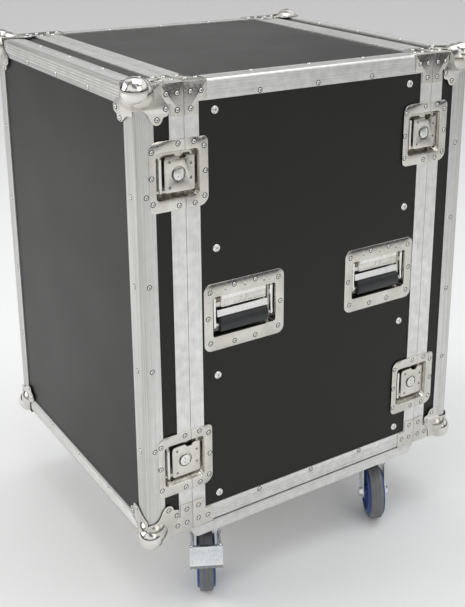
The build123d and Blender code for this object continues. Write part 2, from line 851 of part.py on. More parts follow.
# ---------------------------------------------------------------- lids
def lid(name, end):
    """All fixed pieces of one lid; end is -1 for the front lid and 1 for the rear."""
    seam = across(end * lid_start, end)
    face_back = lid_depth - edging_wall - panel_thickness

    with BuildPart() as panels:
        with BuildSketch(across(end * (lid_start + face_back), end)) as face:
            Rectangle(2 * (panel_face - fit_gap), case_height - 2 * (edging_wall + fit_gap))
        extrude(face.sketch, amount=panel_thickness)
        wall_start = lid_web + fit_gap
        wall_length = face_back - fit_gap - wall_start
        with BuildSketch(across(end * (lid_start + wall_start), end)) as walls:
            for side in (1, -1):
                with Locations((side * (panel_face - panel_thickness / 2), 0)):
                    Rectangle(panel_thickness, case_height - 2 * (edging_wall + fit_gap))
                with Locations((0, side * (half_height - edging_wall - panel_thickness / 2))):
                    Rectangle(2 * (panel_inner - fit_gap), panel_thickness)
        extrude(walls.sketch, amount=wall_length)
        for cut in recess_outline(name):
            extrude(cut, amount=-2 * rim_depth, mode=Mode.SUBTRACT)
    finish(panels, f"{name}_panels")

    with BuildPart() as edging:
        leg_start = across(end * (lid_end - edging_face), end)
        extrude(ring(leg_start, 0, edging_wall), amount=edging_face)
        extrude(ring(across(end * (lid_end - edging_wall), end), 0, edging_face), amount=edging_wall)
        outer = edging.edges().group_by(Axis.Y)[-1 if end > 0 else 0]
        rim_edges = [
            edge
            for edge in outer
            if abs(edge.center().X) > side_x - 2 * edging_radius
            or abs(edge.center().Z - case_mid) > half_height - 2 * edging_radius
        ]
        fillet(rim_edges, edging_radius * 0.8)
        extrude(mitre_cuts(leg_start, edging_face), amount=2 * edging_face, mode=Mode.SUBTRACT)
        low = lid_start + rim_face + fit_gap
        high = lid_end - edging_face - fit_gap
        for sx, sz in corners:
            y_low = min(end * low, end * high)
            y_high = max(end * low, end * high)
            section = angle_section(depth_corner_plane(sx, sz, y_low, y_high), False)
            extrude(section, amount=y_high - y_low)
    finish(edging, f"{name}_edging")

    with BuildPart() as rim:
        extrude(ring(seam, 0, edging_wall), amount=rim_face)
        extrude(ring(seam, edging_wall - fit_gap, rim_depth), amount=lid_web)
        extrude(ring(seam, rim_inner, rim_depth), amount=rim_inner_leg)
        groove = ring(
            seam, tongue_inset - tongue_clearance, tongue_inset + tongue_width + tongue_clearance
        )
        extrude(groove, amount=tongue_height + tongue_clearance, mode=Mode.SUBTRACT)
        extrude(mitre_cuts(seam, rim_depth), amount=2 * rim_face, mode=Mode.SUBTRACT)
        for cut in recess_outline(name):
            extrude(cut, amount=-2 * rim_depth, mode=Mode.SUBTRACT)
    finish(rim, f"{name}_rim")

    with BuildPart() as fittings:
        with Locations(*corner_planes(end)):
            add(ball_corner.part)
        with Locations(*brace_planes(end * lid_start, end)):
            add(brace.part)
    finish(fittings, f"{name}_corners")

    finish(latch_dishes(name), f"{name}_latch_dishes")

    with BuildPart() as rivets:
        with Locations(*lid_rivet_planes(name, end)):
            add(rivet.part)
    finish(rivets, f"{name}_rivets")


lid("front_lid", -1)
lid("rear_lid", 1)

# ---------------------------------------------------------------- fasteners of the body
# Rail screws in cup washers, with their nuts, and all the rivets that stay on the body.
with BuildPart() as rail_screw:
    Cone(
        screw_cup_radius,
        screw_cup_radius - screw_cup_height / 2,
        screw_cup_height,
        align=(Align.CENTER, Align.CENTER, Align.MIN),
    )
    grip = panel_thickness + rail_standoff + rail_sheet
    with Locations((0, 0, -grip - nut_height)):
        Cylinder(screw_radius, grip + nut_height, align=(Align.CENTER, Align.CENTER, Align.MIN))
    with BuildSketch(Plane.XY.offset(-grip)) as nut:
        RegularPolygon(nut_radius, 6)
    extrude(nut.sketch, amount=-nut_height)
    with BuildSketch(Plane.XY.offset(screw_cup_height)) as drive:
        Rectangle(3.6, 1)
        Rectangle(1, 3.6)
    extrude(drive.sketch, amount=-1, mode=Mode.SUBTRACT)
    with BuildSketch(Plane.XY.offset(-panel_thickness)) as spacer:
        Circle(spacer_radius)
        Circle(screw_radius + screw_hole_clearance, mode=Mode.SUBTRACT)
    extrude(spacer.sketch, amount=-rail_standoff)

body_spots = dish_rivet_planes("body")
for end in (-1, 1):
    body_spots += brace_rivet_planes(end * body_end, -end, underside=False)
for sx, sz in corners:
    for step in (-1, 0, 1):
        pair = corner_spots(sx, sz, step * edging_rivet_pitch, edging_rivet_inset, 0)
        body_spots += pair if sz > 0 else pair[:1]
for side in (1, -1):
    for y in handle_ys:
        plane = side_plane(side, y, handle_z, -edging_wall)
        for x, z in handle_rivets:
            for mx in (1, -1):
                for mz in (1, -1) if z else (1,):
                    body_spots.append(shifted(plane, mx * x, mz * z, sheet))

with BuildPart() as body_fasteners:
    with Locations(*body_spots):
        add(rivet.part)
    with Locations(
        *[
            side_plane(side, side * y, z, -edging_wall)
            for side in (1, -1)
            for y in rail_screw_ys
            for z in screw_levels
        ]
    ):
        add(rail_screw.part)
finish(body_fasteners, "body_fasteners")

# ---------------------------------------------------------------- castors
# Each castor is drawn on the floor under its kingpin, trailing towards +X.
castor_x = side_x - castor_side_inset
castor_y = body_end - castor_seam_inset
castor_sites = {
    "front_right": (castor_x, -castor_y, castor_heading),
    "rear_right": (castor_x, castor_y, castor_heading),
    "rear_left": (-castor_x, castor_y, castor_heading + 180),
    "front_left": (-castor_x, -castor_y, castor_heading + 180),
}
plate_bottom = castor_height - castor_plate_sheet
crown_top = wheel_top + crown_rise
crown_sheet = fork_sheet
race_top = crown_top + race_height
leg_outer = fork_gap / 2 + fork_sheet
axle_z = wheel_radius
core_radius = wheel_radius - tread_thickness
core_rim_inner = core_radius - core_rim
web_outer_radius = core_rim_inner - web_flare
pedal_pivot = (pivot_reach, wheel_top - pivot_drop)
pedal_knee = (knee_reach, wheel_top + knee_rise)
pedal_outline = [(x, wheel_top + rise) for x, rise in pedal_points]

with BuildPart() as castor_plate:
    with BuildSketch(Plane.XY.offset(plate_bottom)) as plate:
        RectangleRounded(castor_plate_length, castor_plate_width, 6)
    extrude(plate.sketch, amount=castor_plate_sheet)
    race_bottom = race_top + moving_gap
    with Locations((0, 0, race_bottom)):
        Cone(
            race_radius,
            race_flare,
            plate_bottom - race_bottom,
            align=(Align.CENTER, Align.CENTER, Align.MIN),
        )
    pin_bottom = crown_top - crown_sheet - moving_gap
    with Locations((0, 0, pin_bottom)):
        Cylinder(
            kingpin_radius,
            race_bottom - pin_bottom,
            align=(Align.CENTER, Align.CENTER, Align.MIN),
        )
    with BuildSketch(Plane.XY.offset(pin_bottom)) as pin_nut:
        RegularPolygon(kingpin_nut_radius, 6)
    extrude(pin_nut.sketch, amount=-kingpin_nut_height)
    with Locations(
        *[(x, y, plate_bottom) for x in (castor_bolt_x, -castor_bolt_x)
          for y in (castor_bolt_y, -castor_bolt_y)]
    ):
        Cylinder(castor_bolt_radius, castor_bolt_head, align=(Align.CENTER, Align.CENTER, Align.MAX))

with BuildPart() as castor_plates:
    for x, y, heading in castor_sites.values():
        with Locations((x, y, 0)):
            add(castor_plate.part)
finish(castor_plates, "castor_plates")


def castor_fork(braked):
    """Pressed yoke with its axle bolt, and pedal pins if it has a brake."""
    with BuildPart() as fork:
        with BuildSketch(Plane.XY.offset(crown_top - crown_sheet)) as crown:
            with Locations((crown_centre, 0)):
                Rectangle(crown_length, 2 * leg_outer)
        extrude(crown.sketch, amount=crown_sheet)
        with Locations((0, 0, crown_top)):
            Cylinder(
                race_radius, race_top - crown_top, align=(Align.CENTER, Align.CENTER, Align.MIN)
            )
        with Locations((0, 0, crown_top - crown_sheet)):
            Cylinder(
                kingpin_radius + running_clearance,
                2 * race_top,
                align=(Align.CENTER, Align.CENTER, Align.MIN),
                mode=Mode.SUBTRACT,
            )
        for hand in (1, -1):
            with BuildSketch(
                Plane(origin=(0, hand * fork_gap / 2, 0), x_dir=(1, 0, 0), z_dir=(0, -1, 0))
            ) as leg:
                with Locations((crown_centre, crown_top - crown_band / 2)):
                    Rectangle(crown_length, crown_band)
                with Locations((wheel_trail, axle_z)):
                    Circle(axle_boss_radius)
                make_hull()
                with Locations((wheel_trail, axle_z)):
                    Circle(axle_radius, mode=Mode.SUBTRACT)
            extrude(leg.sketch, amount=-hand * fork_sheet)
            if braked:
                with Locations(
                    Location((pedal_pivot[0], hand * leg_outer, pedal_pivot[1]), (-90 * hand, 0, 0))
                ):
                    Cylinder(
                        pedal_pin_radius,
                        pedal_pin_length,
                        align=(Align.CENTER, Align.CENTER, Align.MIN),
                    )
        axle_plane = Plane(
            origin=(wheel_trail, -leg_outer - axle_nut_height, axle_z),
            x_dir=(1, 0, 0),
            z_dir=(0, 1, 0),
        )
        with BuildSketch(axle_plane) as axle:
            Circle(axle_radius)
        extrude(axle.sketch, amount=2 * (leg_outer + axle_nut_height))
        with BuildSketch(axle_plane) as nut:
            RegularPolygon(axle_nut_radius, 6)
        extrude(nut.sketch, amount=axle_nut_height)
        with BuildSketch(axle_plane.offset(2 * leg_outer + axle_nut_height)) as head:
            RegularPolygon(axle_nut_radius, 6)
        extrude(head.sketch, amount=axle_nut_height)
    return fork


axle_line = Plane(origin=(wheel_trail, 0, axle_z), x_dir=(0, 1, 0), z_dir=(1, 0, 0))
axle_axis = Axis((wheel_trail, 0, axle_z), (0, 1, 0))
bore_radius = axle_radius + running_clearance
with BuildPart() as wheel_core:
    with BuildSketch(axle_line) as profile:
        with BuildLine():
            Polyline(
                (-hub_half_width, bore_radius),
                (hub_half_width, bore_radius),
                (hub_half_width, hub_radius_outer),
                (web_half_width, web_inner_radius),
                (web_half_width, web_outer_radius),
                (core_half_width, core_rim_inner),
                (core_half_width, core_radius - core_lip),
                (core_half_width - core_lip, core_radius),
                (-core_half_width + core_lip, core_radius),
                (-core_half_width, core_radius - core_lip),
                (-core_half_width, core_rim_inner),
                (-web_half_width, web_outer_radius),
                (-web_half_width, web_inner_radius),
                (-hub_half_width, hub_radius_outer),
                close=True,
            )
        make_face()
    revolve(profile.sketch, axis=axle_axis)

with BuildPart() as wheel_tread:
    with BuildSketch(axle_line) as profile:
        with Locations((0, (core_radius + wheel_radius) / 2)):
            Rectangle(tread_width, tread_thickness)
        fillet(profile.vertices().group_by(Axis.Y)[-1], tread_round)
    revolve(profile.sketch, axis=axle_axis)

with BuildPart() as brake_pedal:
    with BuildSketch(Plane.XZ) as tread_plate:
        with BuildLine():
            Polyline(*pedal_outline, close=True)
        make_face()
    extrude(tread_plate.sketch, amount=pedal_half_width, both=True)
    for hand in (1, -1):
        arm_start = leg_outer + moving_gap
        with BuildSketch(
            Plane(origin=(0, hand * arm_start, 0), x_dir=(1, 0, 0), z_dir=(0, -1, 0))
        ) as arm:
            with Locations(pedal_pivot, pedal_knee):
                Circle(2 * pedal_pin_radius)
            make_hull()
            with Locations(pedal_pivot):
                Circle(pedal_pin_radius + running_clearance, mode=Mode.SUBTRACT)
        extrude(arm.sketch, amount=-hand * pedal_sheet)

forks = {True: castor_fork(True), False: castor_fork(False)}
for name, (x, y, heading) in castor_sites.items():
    braked = name.startswith("front")
    pieces = {"castor_fork": forks[braked], "wheel_core": wheel_core, "wheel_tread": wheel_tread}
    if braked:
        pieces["brake_pedal"] = brake_pedal
    for word, pattern in pieces.items():
        with BuildPart() as placed:
            with Locations(Location((x, y, 0), (0, 0, heading))):
                add(pattern.part)
        finish(placed, f"{word}_{name}")
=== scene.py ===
"""Looks of the equipment rack case: black laminate, aluminium extrusions and plated hardware."""
import json
import math

import bmesh
import bpy
from mathutils import Matrix, Vector

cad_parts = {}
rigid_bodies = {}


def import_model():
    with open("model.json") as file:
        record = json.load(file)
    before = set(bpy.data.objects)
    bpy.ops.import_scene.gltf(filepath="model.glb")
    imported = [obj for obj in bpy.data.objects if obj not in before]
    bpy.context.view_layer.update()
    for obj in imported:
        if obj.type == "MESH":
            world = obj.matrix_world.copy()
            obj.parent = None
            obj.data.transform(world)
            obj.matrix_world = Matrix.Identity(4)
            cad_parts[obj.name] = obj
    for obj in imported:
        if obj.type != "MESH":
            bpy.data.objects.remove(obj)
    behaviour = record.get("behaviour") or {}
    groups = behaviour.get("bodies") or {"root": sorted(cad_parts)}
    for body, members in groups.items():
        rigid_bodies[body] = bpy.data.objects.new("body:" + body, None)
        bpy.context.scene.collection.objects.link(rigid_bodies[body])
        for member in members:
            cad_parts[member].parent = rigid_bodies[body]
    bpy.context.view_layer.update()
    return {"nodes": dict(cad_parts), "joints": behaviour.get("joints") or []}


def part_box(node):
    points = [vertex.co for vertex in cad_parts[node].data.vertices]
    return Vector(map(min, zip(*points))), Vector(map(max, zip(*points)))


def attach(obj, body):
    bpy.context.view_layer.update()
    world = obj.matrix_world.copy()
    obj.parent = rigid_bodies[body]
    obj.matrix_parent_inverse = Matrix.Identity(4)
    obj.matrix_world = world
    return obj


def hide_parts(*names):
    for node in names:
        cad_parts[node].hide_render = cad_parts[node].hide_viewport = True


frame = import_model()
nodes = frame["nodes"]

# ------------------------------------------------------------------ camera
# The viewer stands off the right-hand front corner, a little above the top of the case,
# with a long lens. Angles are in degrees: azimuth 0 looks along the depth of the case.
scene = bpy.context.scene
viewer_place = Vector((1.515, -0.9126, 1.159))
viewer_azimuth = math.radians(55.035)
viewer_elevation = math.radians(17.661)
viewer_roll = math.radians(0.701)

back = Vector((
    math.sin(viewer_azimuth) * math.cos(viewer_elevation),
    -math.cos(viewer_azimuth) * math.cos(viewer_elevation),
    math.sin(viewer_elevation),
))
level_right = Vector((math.cos(viewer_azimuth), math.sin(viewer_azimuth), 0))
level_up = back.cross(level_right)
right = math.cos(viewer_roll) * level_right + math.sin(viewer_roll) * level_up
up = math.cos(viewer_roll) * level_up - math.sin(viewer_roll) * level_right

camera_data = bpy.data.cameras.new("viewer")
camera_data.lens = 59.3
camera_data.sensor_width = 36.0
camera_data.shift_x = -0.0997
camera_data.shift_y = -0.1705
camera = bpy.data.objects.new("viewer", camera_data)
camera.matrix_world = Matrix((
    (right.x, up.x, back.x, viewer_place.x),
    (right.y, up.y, back.y, viewer_place.y),
    (right.z, up.z, back.z, viewer_place.z),
    (0, 0, 0, 1),
))
scene.collection.objects.link(camera)
scene.camera = camera

# ------------------------------------------------------------------ floor and light
# A pale floor under a patchy pale sky, with a broad soft lamp over the front left, a weak
# one on the right and one overhead, so that the front lid is lighter than the side.


def node_material(name):
    """A new material with only its Principled shader and output."""
    material = bpy.data.materials.new(name)
    material.use_nodes = True
    return material, material.node_tree, material.node_tree.nodes["Principled BSDF"]


floor_mesh = bmesh.new()
bmesh.ops.create_grid(floor_mesh, x_segments=8, y_segments=8, size=30)
floor_data = bpy.data.meshes.new("studio_floor")
floor_mesh.to_mesh(floor_data)
floor_mesh.free()
studio_floor = bpy.data.objects.new("studio_floor", floor_data)
scene.collection.objects.link(studio_floor)
paper, _, paper_shader = node_material("pale_floor")
paper_shader.inputs["Base Color"].default_value = (0.94, 0.94, 0.94, 1)
paper_shader.inputs["Roughness"].default_value = 0.9
floor_data.materials.append(paper)

def noise_node(tree, vector, scale, detail):
    """A noise texture's value over a vector; scale is a socket or a number."""
    node = tree.nodes.new("ShaderNodeTexNoise")
    tree.links.new(vector, node.inputs["Vector"])
    if isinstance(scale, (int, float)):
        node.inputs["Scale"].default_value = scale
    else:
        tree.links.new(scale, node.inputs["Scale"])
    node.inputs["Detail"].default_value = detail
    return node.outputs["Fac"]


def ramp(tree, factor, *stops):
    """A colour ramp over a value; each stop is (position, (r, g, b))."""
    node = tree.nodes.new("ShaderNodeValToRGB")
    while len(node.color_ramp.elements) < len(stops):
        node.color_ramp.elements.new(0.5)
    for element, (position, colour) in zip(node.color_ramp.elements, stops):
        element.position = position
        element.color = (*colour, 1)
    tree.links.new(factor, node.inputs["Fac"])
    return node.outputs["Color"]


sky = bpy.data.worlds.new("studio_sky")
sky.use_nodes = True
sky_tree = sky.node_tree
sky_light = sky_tree.nodes["Background"]
sky_light.inputs["Strength"].default_value = 1.05
sky_place = sky_tree.nodes.new("ShaderNodeTexCoord").outputs["Generated"]
# broad bright and dim patches, and a dim band round the horizon, for the plating to mirror
sky_patches = noise_node(sky_tree, sky_place, 1.7, 1.0)
sky_tones = ramp(sky_tree, sky_patches, (0.40, (0.22, 0.22, 0.23)), (0.56, (1.0, 1.0, 0.99)))
sky_height = sky_tree.nodes.new("ShaderNodeSeparateXYZ")
sky_tree.links.new(sky_place, sky_height.inputs["Vector"])
sky_band = ramp(
    sky_tree, sky_height.outputs["Z"], (0.06, (0.10, 0.10, 0.11)), (0.30, (1.0, 1.0, 1.0))
)
sky_mix = sky_tree.nodes.new("ShaderNodeMix")
sky_mix.data_type = "RGBA"
sky_mix.blend_type = "MULTIPLY"
sky_mix.inputs["Factor"].default_value = 1.0
sky_tree.links.new(sky_tones, sky_mix.inputs[6])
sky_tree.links.new(sky_band, sky_mix.inputs[7])
sky_tree.links.new(sky_mix.outputs[2], sky_light.inputs["Color"])
scene.world = sky
scene.view_settings.view_transform = "Standard"


def soft_lamp(name, place, aim, size, watts, tint):
    """A square area lamp at place, turned to aim."""
    data = bpy.data.lights.new(name, "AREA")
    data.size = size
    data.energy = watts
    data.color = tint
    lamp = bpy.data.objects.new(name, data)
    lamp.location = place
    lamp.rotation_euler = (Vector(aim) - Vector(place)).to_track_quat("-Z", "Y").to_euler()
    scene.collection.objects.link(lamp)


soft_lamp("front_lamp", (-1.6, -3.2, 2.2), (0, -0.3, 0.5), 2.2, 60, (1.0, 0.99, 0.97))
soft_lamp("side_lamp", (3.2, 0.6, 2.4), (0.2, 0, 0.5), 2.0, 16, (1.0, 0.99, 0.96))
soft_lamp("top_lamp", (0.2, 0.5, 3.4), (0, 0, 0.8), 2.5, 40, (0.95, 0.98, 1.0))

# ------------------------------------------------------------------ laminate panels
# Birch plywood faced with black phenolic sheet, which has a fine orange-peel grain and a
# dull sheen, with faint handling marks. The panels are held in the extrusions by rivets.


def effect_group(name, inputs, outputs):
    """An empty shader node group with the named sockets, as (socket type, name, value)."""
    group = bpy.data.node_groups.new(name, "ShaderNodeTree")
    for kind, socket, value in inputs:
        made = group.interface.new_socket(socket, in_out="INPUT", socket_type=kind)
        if value is not None:
            made.default_value = value
    for kind, socket in outputs:
        group.interface.new_socket(socket, in_out="OUTPUT", socket_type=kind)
    return group, group.nodes.new("NodeGroupInput"), group.nodes.new("NodeGroupOutput")


def math_node(tree, operation, first, second, clamp=False):
    """A math node; each input is a socket or a number."""
    node = tree.nodes.new("ShaderNodeMath")
    node.operation = operation
    node.use_clamp = clamp
    for slot, value in zip(node.inputs, (first, second)):
        if isinstance(value, (int, float)):
            slot.default_value = value
        else:
            tree.links.new(value, slot)
    return node.outputs[0]


# fine grain: an even speckle for moulded, laminated and plated skins
fine_grain, grain_in, grain_out = effect_group(
    "fine_grain",
    [("NodeSocketFloat", "Scale", 400.0), ("NodeSocketFloat", "Patch Scale", 9.0)],
    [("NodeSocketFloat", "Grain"), ("NodeSocketFloat", "Patches")],
)
grain_place = fine_grain.nodes.new("ShaderNodeTexCoord")
grain_value = noise_node(fine_grain, grain_place.outputs["Object"], grain_in.outputs["Scale"], 4)
patch_value = noise_node(
    fine_grain, grain_place.outputs["Object"], grain_in.outputs["Patch Scale"], 5
)
fine_grain.links.new(grain_value, grain_out.inputs["Grain"])
fine_grain.links.new(patch_value, grain_out.inputs["Patches"])

# edge wear: a broken mask along the outer edges, where hands and other cases rub
edge_wear, wear_in, wear_out = effect_group(
    "edge_wear",
    [("NodeSocketFloat", "Start", 0.52), ("NodeSocketFloat", "Break Scale", 60.0)],
    [("NodeSocketFloat", "Mask")],
)
wear_shape = edge_wear.nodes.new("ShaderNodeNewGeometry")
wear_place = edge_wear.nodes.new("ShaderNodeTexCoord")
wear_break = noise_node(edge_wear, wear_place.outputs["Object"], wear_in.outputs["Break Scale"], 3)
wear_raised = math_node(
    edge_wear, "SUBTRACT", wear_shape.outputs["Pointiness"], wear_in.outputs["Start"]
)
wear_sharp = math_node(edge_wear, "MULTIPLY", wear_raised, 12.0, clamp=True)
edge_wear.links.new(
    math_node(edge_wear, "MULTIPLY", wear_sharp, wear_break, clamp=True), wear_out.inputs["Mask"]
)


def placed_group(tree, group, **values):
    """One use of an effect group in a material, with its own values."""
    node = tree.nodes.new("ShaderNodeGroup")
    node.node_tree = group
    for name, value in values.items():
        node.inputs[name.replace("_", " ")].default_value = value
    return node.outputs


def mixed(tree, factor, first, second):
    """A colour mix of two colour sockets or plain colours."""
    node = tree.nodes.new("ShaderNodeMix")
    node.data_type = "RGBA"
    tree.links.new(factor, node.inputs["Factor"])
    for slot, value in ((6, first), (7, second)):
        if isinstance(value, tuple):
            node.inputs[slot].default_value = (*value, 1)
        else:
            tree.links.new(value, node.inputs[slot])
    return node.outputs[2]


def spread(tree, value, low, high):
    """The value, carried from 0..1 to low..high."""
    node = tree.nodes.new("ShaderNodeMapRange")
    node.inputs["From Min"].default_value = 0.3
    node.inputs["From Max"].default_value = 0.7
    node.inputs["To Min"].default_value = low
    node.inputs["To Max"].default_value = high
    tree.links.new(value, node.inputs["Value"])
    return node.outputs["Result"]


def bumped(tree, shader, height, distance, strength=1.0):
    """Gives the shader a bump from a height value."""
    node = tree.nodes.new("ShaderNodeBump")
    node.inputs["Distance"].default_value = distance
    node.inputs["Strength"].default_value = strength
    tree.links.new(height, node.inputs["Height"])
    tree.links.new(node.outputs["Normal"], shader.inputs["Normal"])


def black_laminate():
    """Black phenolic sheet with an orange-peel grain."""
    material, tree, shader = node_material("black_laminate")
    skin = placed_group(tree, fine_grain, Scale=520.0, Patch_Scale=7.0)
    dark, light = (0.0085, 0.0082, 0.0072), (0.012, 0.0116, 0.0102)
    body = ramp(tree, skin["Patches"], (0.3, dark), (0.7, light))
    speck = mixed(tree, skin["Grain"], body, (0.017, 0.0165, 0.015))
    tree.links.new(speck, shader.inputs["Base Color"])
    tree.links.new(spread(tree, skin["Patches"], 0.36, 0.42), shader.inputs["Roughness"])
    shader.inputs["Specular IOR Level"].default_value = 0.26
    bumped(tree, shader, skin["Grain"], 0.00025, 0.6)
    return material


def clad(node, material, bevel=0.0004):
    """Gives a carried-over piece its material and breaks its sharp edges."""
    piece = nodes[node]
    piece.data.materials.clear()
    piece.data.materials.append(material)
    if bevel:
        edge = piece.modifiers.new("broken_edges", "BEVEL")
        edge.width = bevel
        edge.segments = 2
        edge.limit_method = "ANGLE"
        edge.angle_limit = math.radians(40)
        edge.harden_normals = False


laminate = black_laminate()
laminate_nodes = ["side_panel_right", "side_panel_left", "top_panel", "bottom_panel"]
for node in laminate_nodes + ["front_lid_panels", "rear_lid_panels"]:
    clad(node, laminate, 0)

# ------------------------------------------------------------------ aluminium extrusions
# Satin anodised angle along the long corners and round the lids, and the tongue and groove
# rims at the seams. The die leaves fine lines along each length; the long angles and the
# lids' level angles also carry four ribs, and the rims and upright angles are smooth.

# drawn lines: long streaks along one direction of the extrusion
drawn_lines, lines_in, lines_out = effect_group(
    "drawn_lines",
    [("NodeSocketVector", "Across", (900.0, 8.0, 900.0))],
    [("NodeSocketFloat", "Streaks")],
)
lines_place = drawn_lines.nodes.new("ShaderNodeTexCoord")
lines_scale = drawn_lines.nodes.new("ShaderNodeVectorMath")
lines_scale.operation = "MULTIPLY"
drawn_lines.links.new(lines_place.outputs["Object"], lines_scale.inputs[0])
drawn_lines.links.new(lines_in.outputs["Across"], lines_scale.inputs[1])
drawn_lines.links.new(
    noise_node(drawn_lines, lines_scale.outputs["Vector"], 1.0, 3), lines_out.inputs["Streaks"]
)


def drawn_aluminium(name, across, light, dark, rough=(0.34, 0.46)):
    """Satin aluminium whose lines run along the axis that across stretches least."""
    material, tree, shader = node_material(name)
    lines = placed_group(tree, drawn_lines, Across=across)
    skin = placed_group(tree, fine_grain, Scale=260.0, Patch_Scale=5.0)
    worn = placed_group(tree, edge_wear, Start=0.53, Break_Scale=70.0)
    body = ramp(tree, lines["Streaks"], (0.3, dark), (0.7, light))
    cloudy = mixed(tree, spread(tree, skin["Patches"], 0.0, 0.35), body, dark)
    tree.links.new(
        mixed(tree, worn["Mask"], cloudy, (0.92, 0.92, 0.91)), shader.inputs["Base Color"]
    )
    shader.inputs["Metallic"].default_value = 1.0
    tree.links.new(spread(tree, skin["Patches"], *rough), shader.inputs["Roughness"])
    bumped(tree, shader, lines["Streaks"], 0.00008, 0.5)
    return material


MM = 0.001
silver_light, silver_dark = (0.72, 0.72, 0.69), (0.46, 0.46, 0.44)
long_silver = drawn_aluminium("aluminium_along_depth", (900, 6, 900), silver_light, silver_dark)
upright_silver = drawn_aluminium("aluminium_upright", (900, 900, 6), silver_light, silver_dark)
level_silver = drawn_aluminium("aluminium_level", (6, 900, 900), silver_light, silver_dark)

case_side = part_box("castor_board")[1].x
seam_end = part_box("castor_board")[1].y
case_low, case_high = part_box("body_edging")[0].z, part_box("body_edging")[1].z
lid_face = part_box("rear_lid_edging")[1].y
edging_leg = 31 * MM


def clad_frame(node):
    """Extrusions round a rectangle: upright lengths and level lengths have their own lines."""
    clad(node, upright_silver)
    mesh = nodes[node].data
    mesh.materials.append(level_silver)
    for face in mesh.polygons:
        level = abs(face.center.x) < case_side - edging_leg or abs(face.normal.z) > 0.6
        face.material_index = 1 if level else 0


clad("body_edging", long_silver, 0.0003)
for node in (
    "body_rim_front", "body_rim_rear", "front_lid_rim", "rear_lid_rim",
    "front_lid_edging", "rear_lid_edging",
):
    clad_frame(node)


def joined(name, builder, material, body, frames=(Matrix.Identity(4),), angle=35):
    """A piece drawn in mm by builder at each frame, in its material, riding on its body."""
    whole = bpy.data.meshes.new(name)
    gathered = bmesh.new()
    for place in frames:
        one = bmesh.new()
        builder(one)
        bmesh.ops.recalc_face_normals(one, faces=one.faces)
        scratch = bpy.data.meshes.new("scratch")
        one.to_mesh(scratch)
        one.free()
        scratch.transform(place @ Matrix.Scale(MM, 4))
        if place.determinant() < 0:
            scratch.flip_normals()
        gathered.from_mesh(scratch)
        bpy.data.meshes.remove(scratch)
    gathered.to_mesh(whole)
    gathered.free()
    whole.shade_smooth()
    whole.set_sharp_from_angle(angle=math.radians(angle))
    whole.materials.append(material)
    piece = bpy.data.objects.new(name, whole)
    scene.collection.objects.link(piece)
    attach(piece, body)
    return piece


def lofted(mesh, loops, close_start=False, close_end=False):
    """Skin between closed loops that all have the same number of points."""
    rows = [[mesh.verts.new(point) for point in loop] for loop in loops]
    count = len(rows[0])
    for low, high in zip(rows, rows[1:]):
        for i in range(count):
            j = (i + 1) % count
            mesh.faces.new((low[i], low[j], high[j], high[i]))
    if close_start:
        mesh.faces.new(list(reversed(rows[0])))
    if close_end:
        mesh.faces.new(rows[-1])


rib_count, rib_pitch, rib_start = 4, 4.5, 8.0
rib_half, rib_height = 1.1, 0.45
rib_top_half = 0.6 * rib_half
rib_end_inset = 40
rib_half_length = case_side / MM - rib_end_inset


def lid_ribs(mesh):
    """Raised ribs along the level angles of a lid, on its face and on its top and bottom."""
    half_height = (case_high - case_low) / MM / 2
    face = lid_face / MM
    for level in (1, -1):
        for number in range(rib_count):
            inset = rib_start + number * rib_pitch
            for out, place in (
                (Vector((0, 1, 0)), Vector((0, face, level * (half_height - inset)))),
                (Vector((0, 0, level)), Vector((0, face - inset, level * half_height))),
            ):
                side = out.cross(Vector((1, 0, 0)))
                section = [(-rib_half, 0), (-rib_top_half, 1), (rib_top_half, 1), (rib_half, 0)]
                ends = []
                for x in (-rib_half_length, rib_half_length):
                    ends.append([
                        place + Vector((x, 0, 0)) + side * s + out * h * rib_height
                        for s, h in section
                    ])
                lofted(mesh, ends, True, True)


case_mid = (case_low + case_high) / 2
middle = Matrix.Translation((0, 0, case_mid))
half_turn = Matrix.Rotation(math.pi, 4, "Z")
for name, place in (("front_lid", middle @ half_turn), ("rear_lid", middle)):
    joined(f"{name}_ribs", lid_ribs, level_silver, name, [place])

# ------------------------------------------------------------------ castor board
# Plywood board under the body, faced with ribbed aluminium sheet and bolted on below.
board_silver = drawn_aluminium("aluminium_board", (900, 5, 900), (0.74, 0.74, 0.72), silver_dark)
clad("castor_board", board_silver, 0.0006)
board_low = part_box("castor_board")[0].z
board_rib_inset = 14.0
board_rib_levels = (6.5, 11.0, 15.5)
board_rib_section = ((-rib_half, 0), (-0.6, 1), (0.6, 1), (rib_half, 0))


def board_ribs(mesh):
    """Three ribs along each long side of the board."""
    reach = seam_end / MM - board_rib_inset
    for side in (1, -1):
        for height in board_rib_levels:
            ends = []
            for y in (-reach, reach):
                ends.append([
                    Vector((side * (case_side / MM + h * rib_height), y, height + s))
                    for s, h in board_rib_section
                ])
            lofted(mesh, ends, True, True)


joined(
    "castor_board_ribs", board_ribs, board_silver, "case_body",
    [Matrix.Translation((0, 0, board_low))],
)

# ------------------------------------------------------------------ rack rails
# Folded steel rails with square-edged holes, zinc plated, screwed through the side panels.


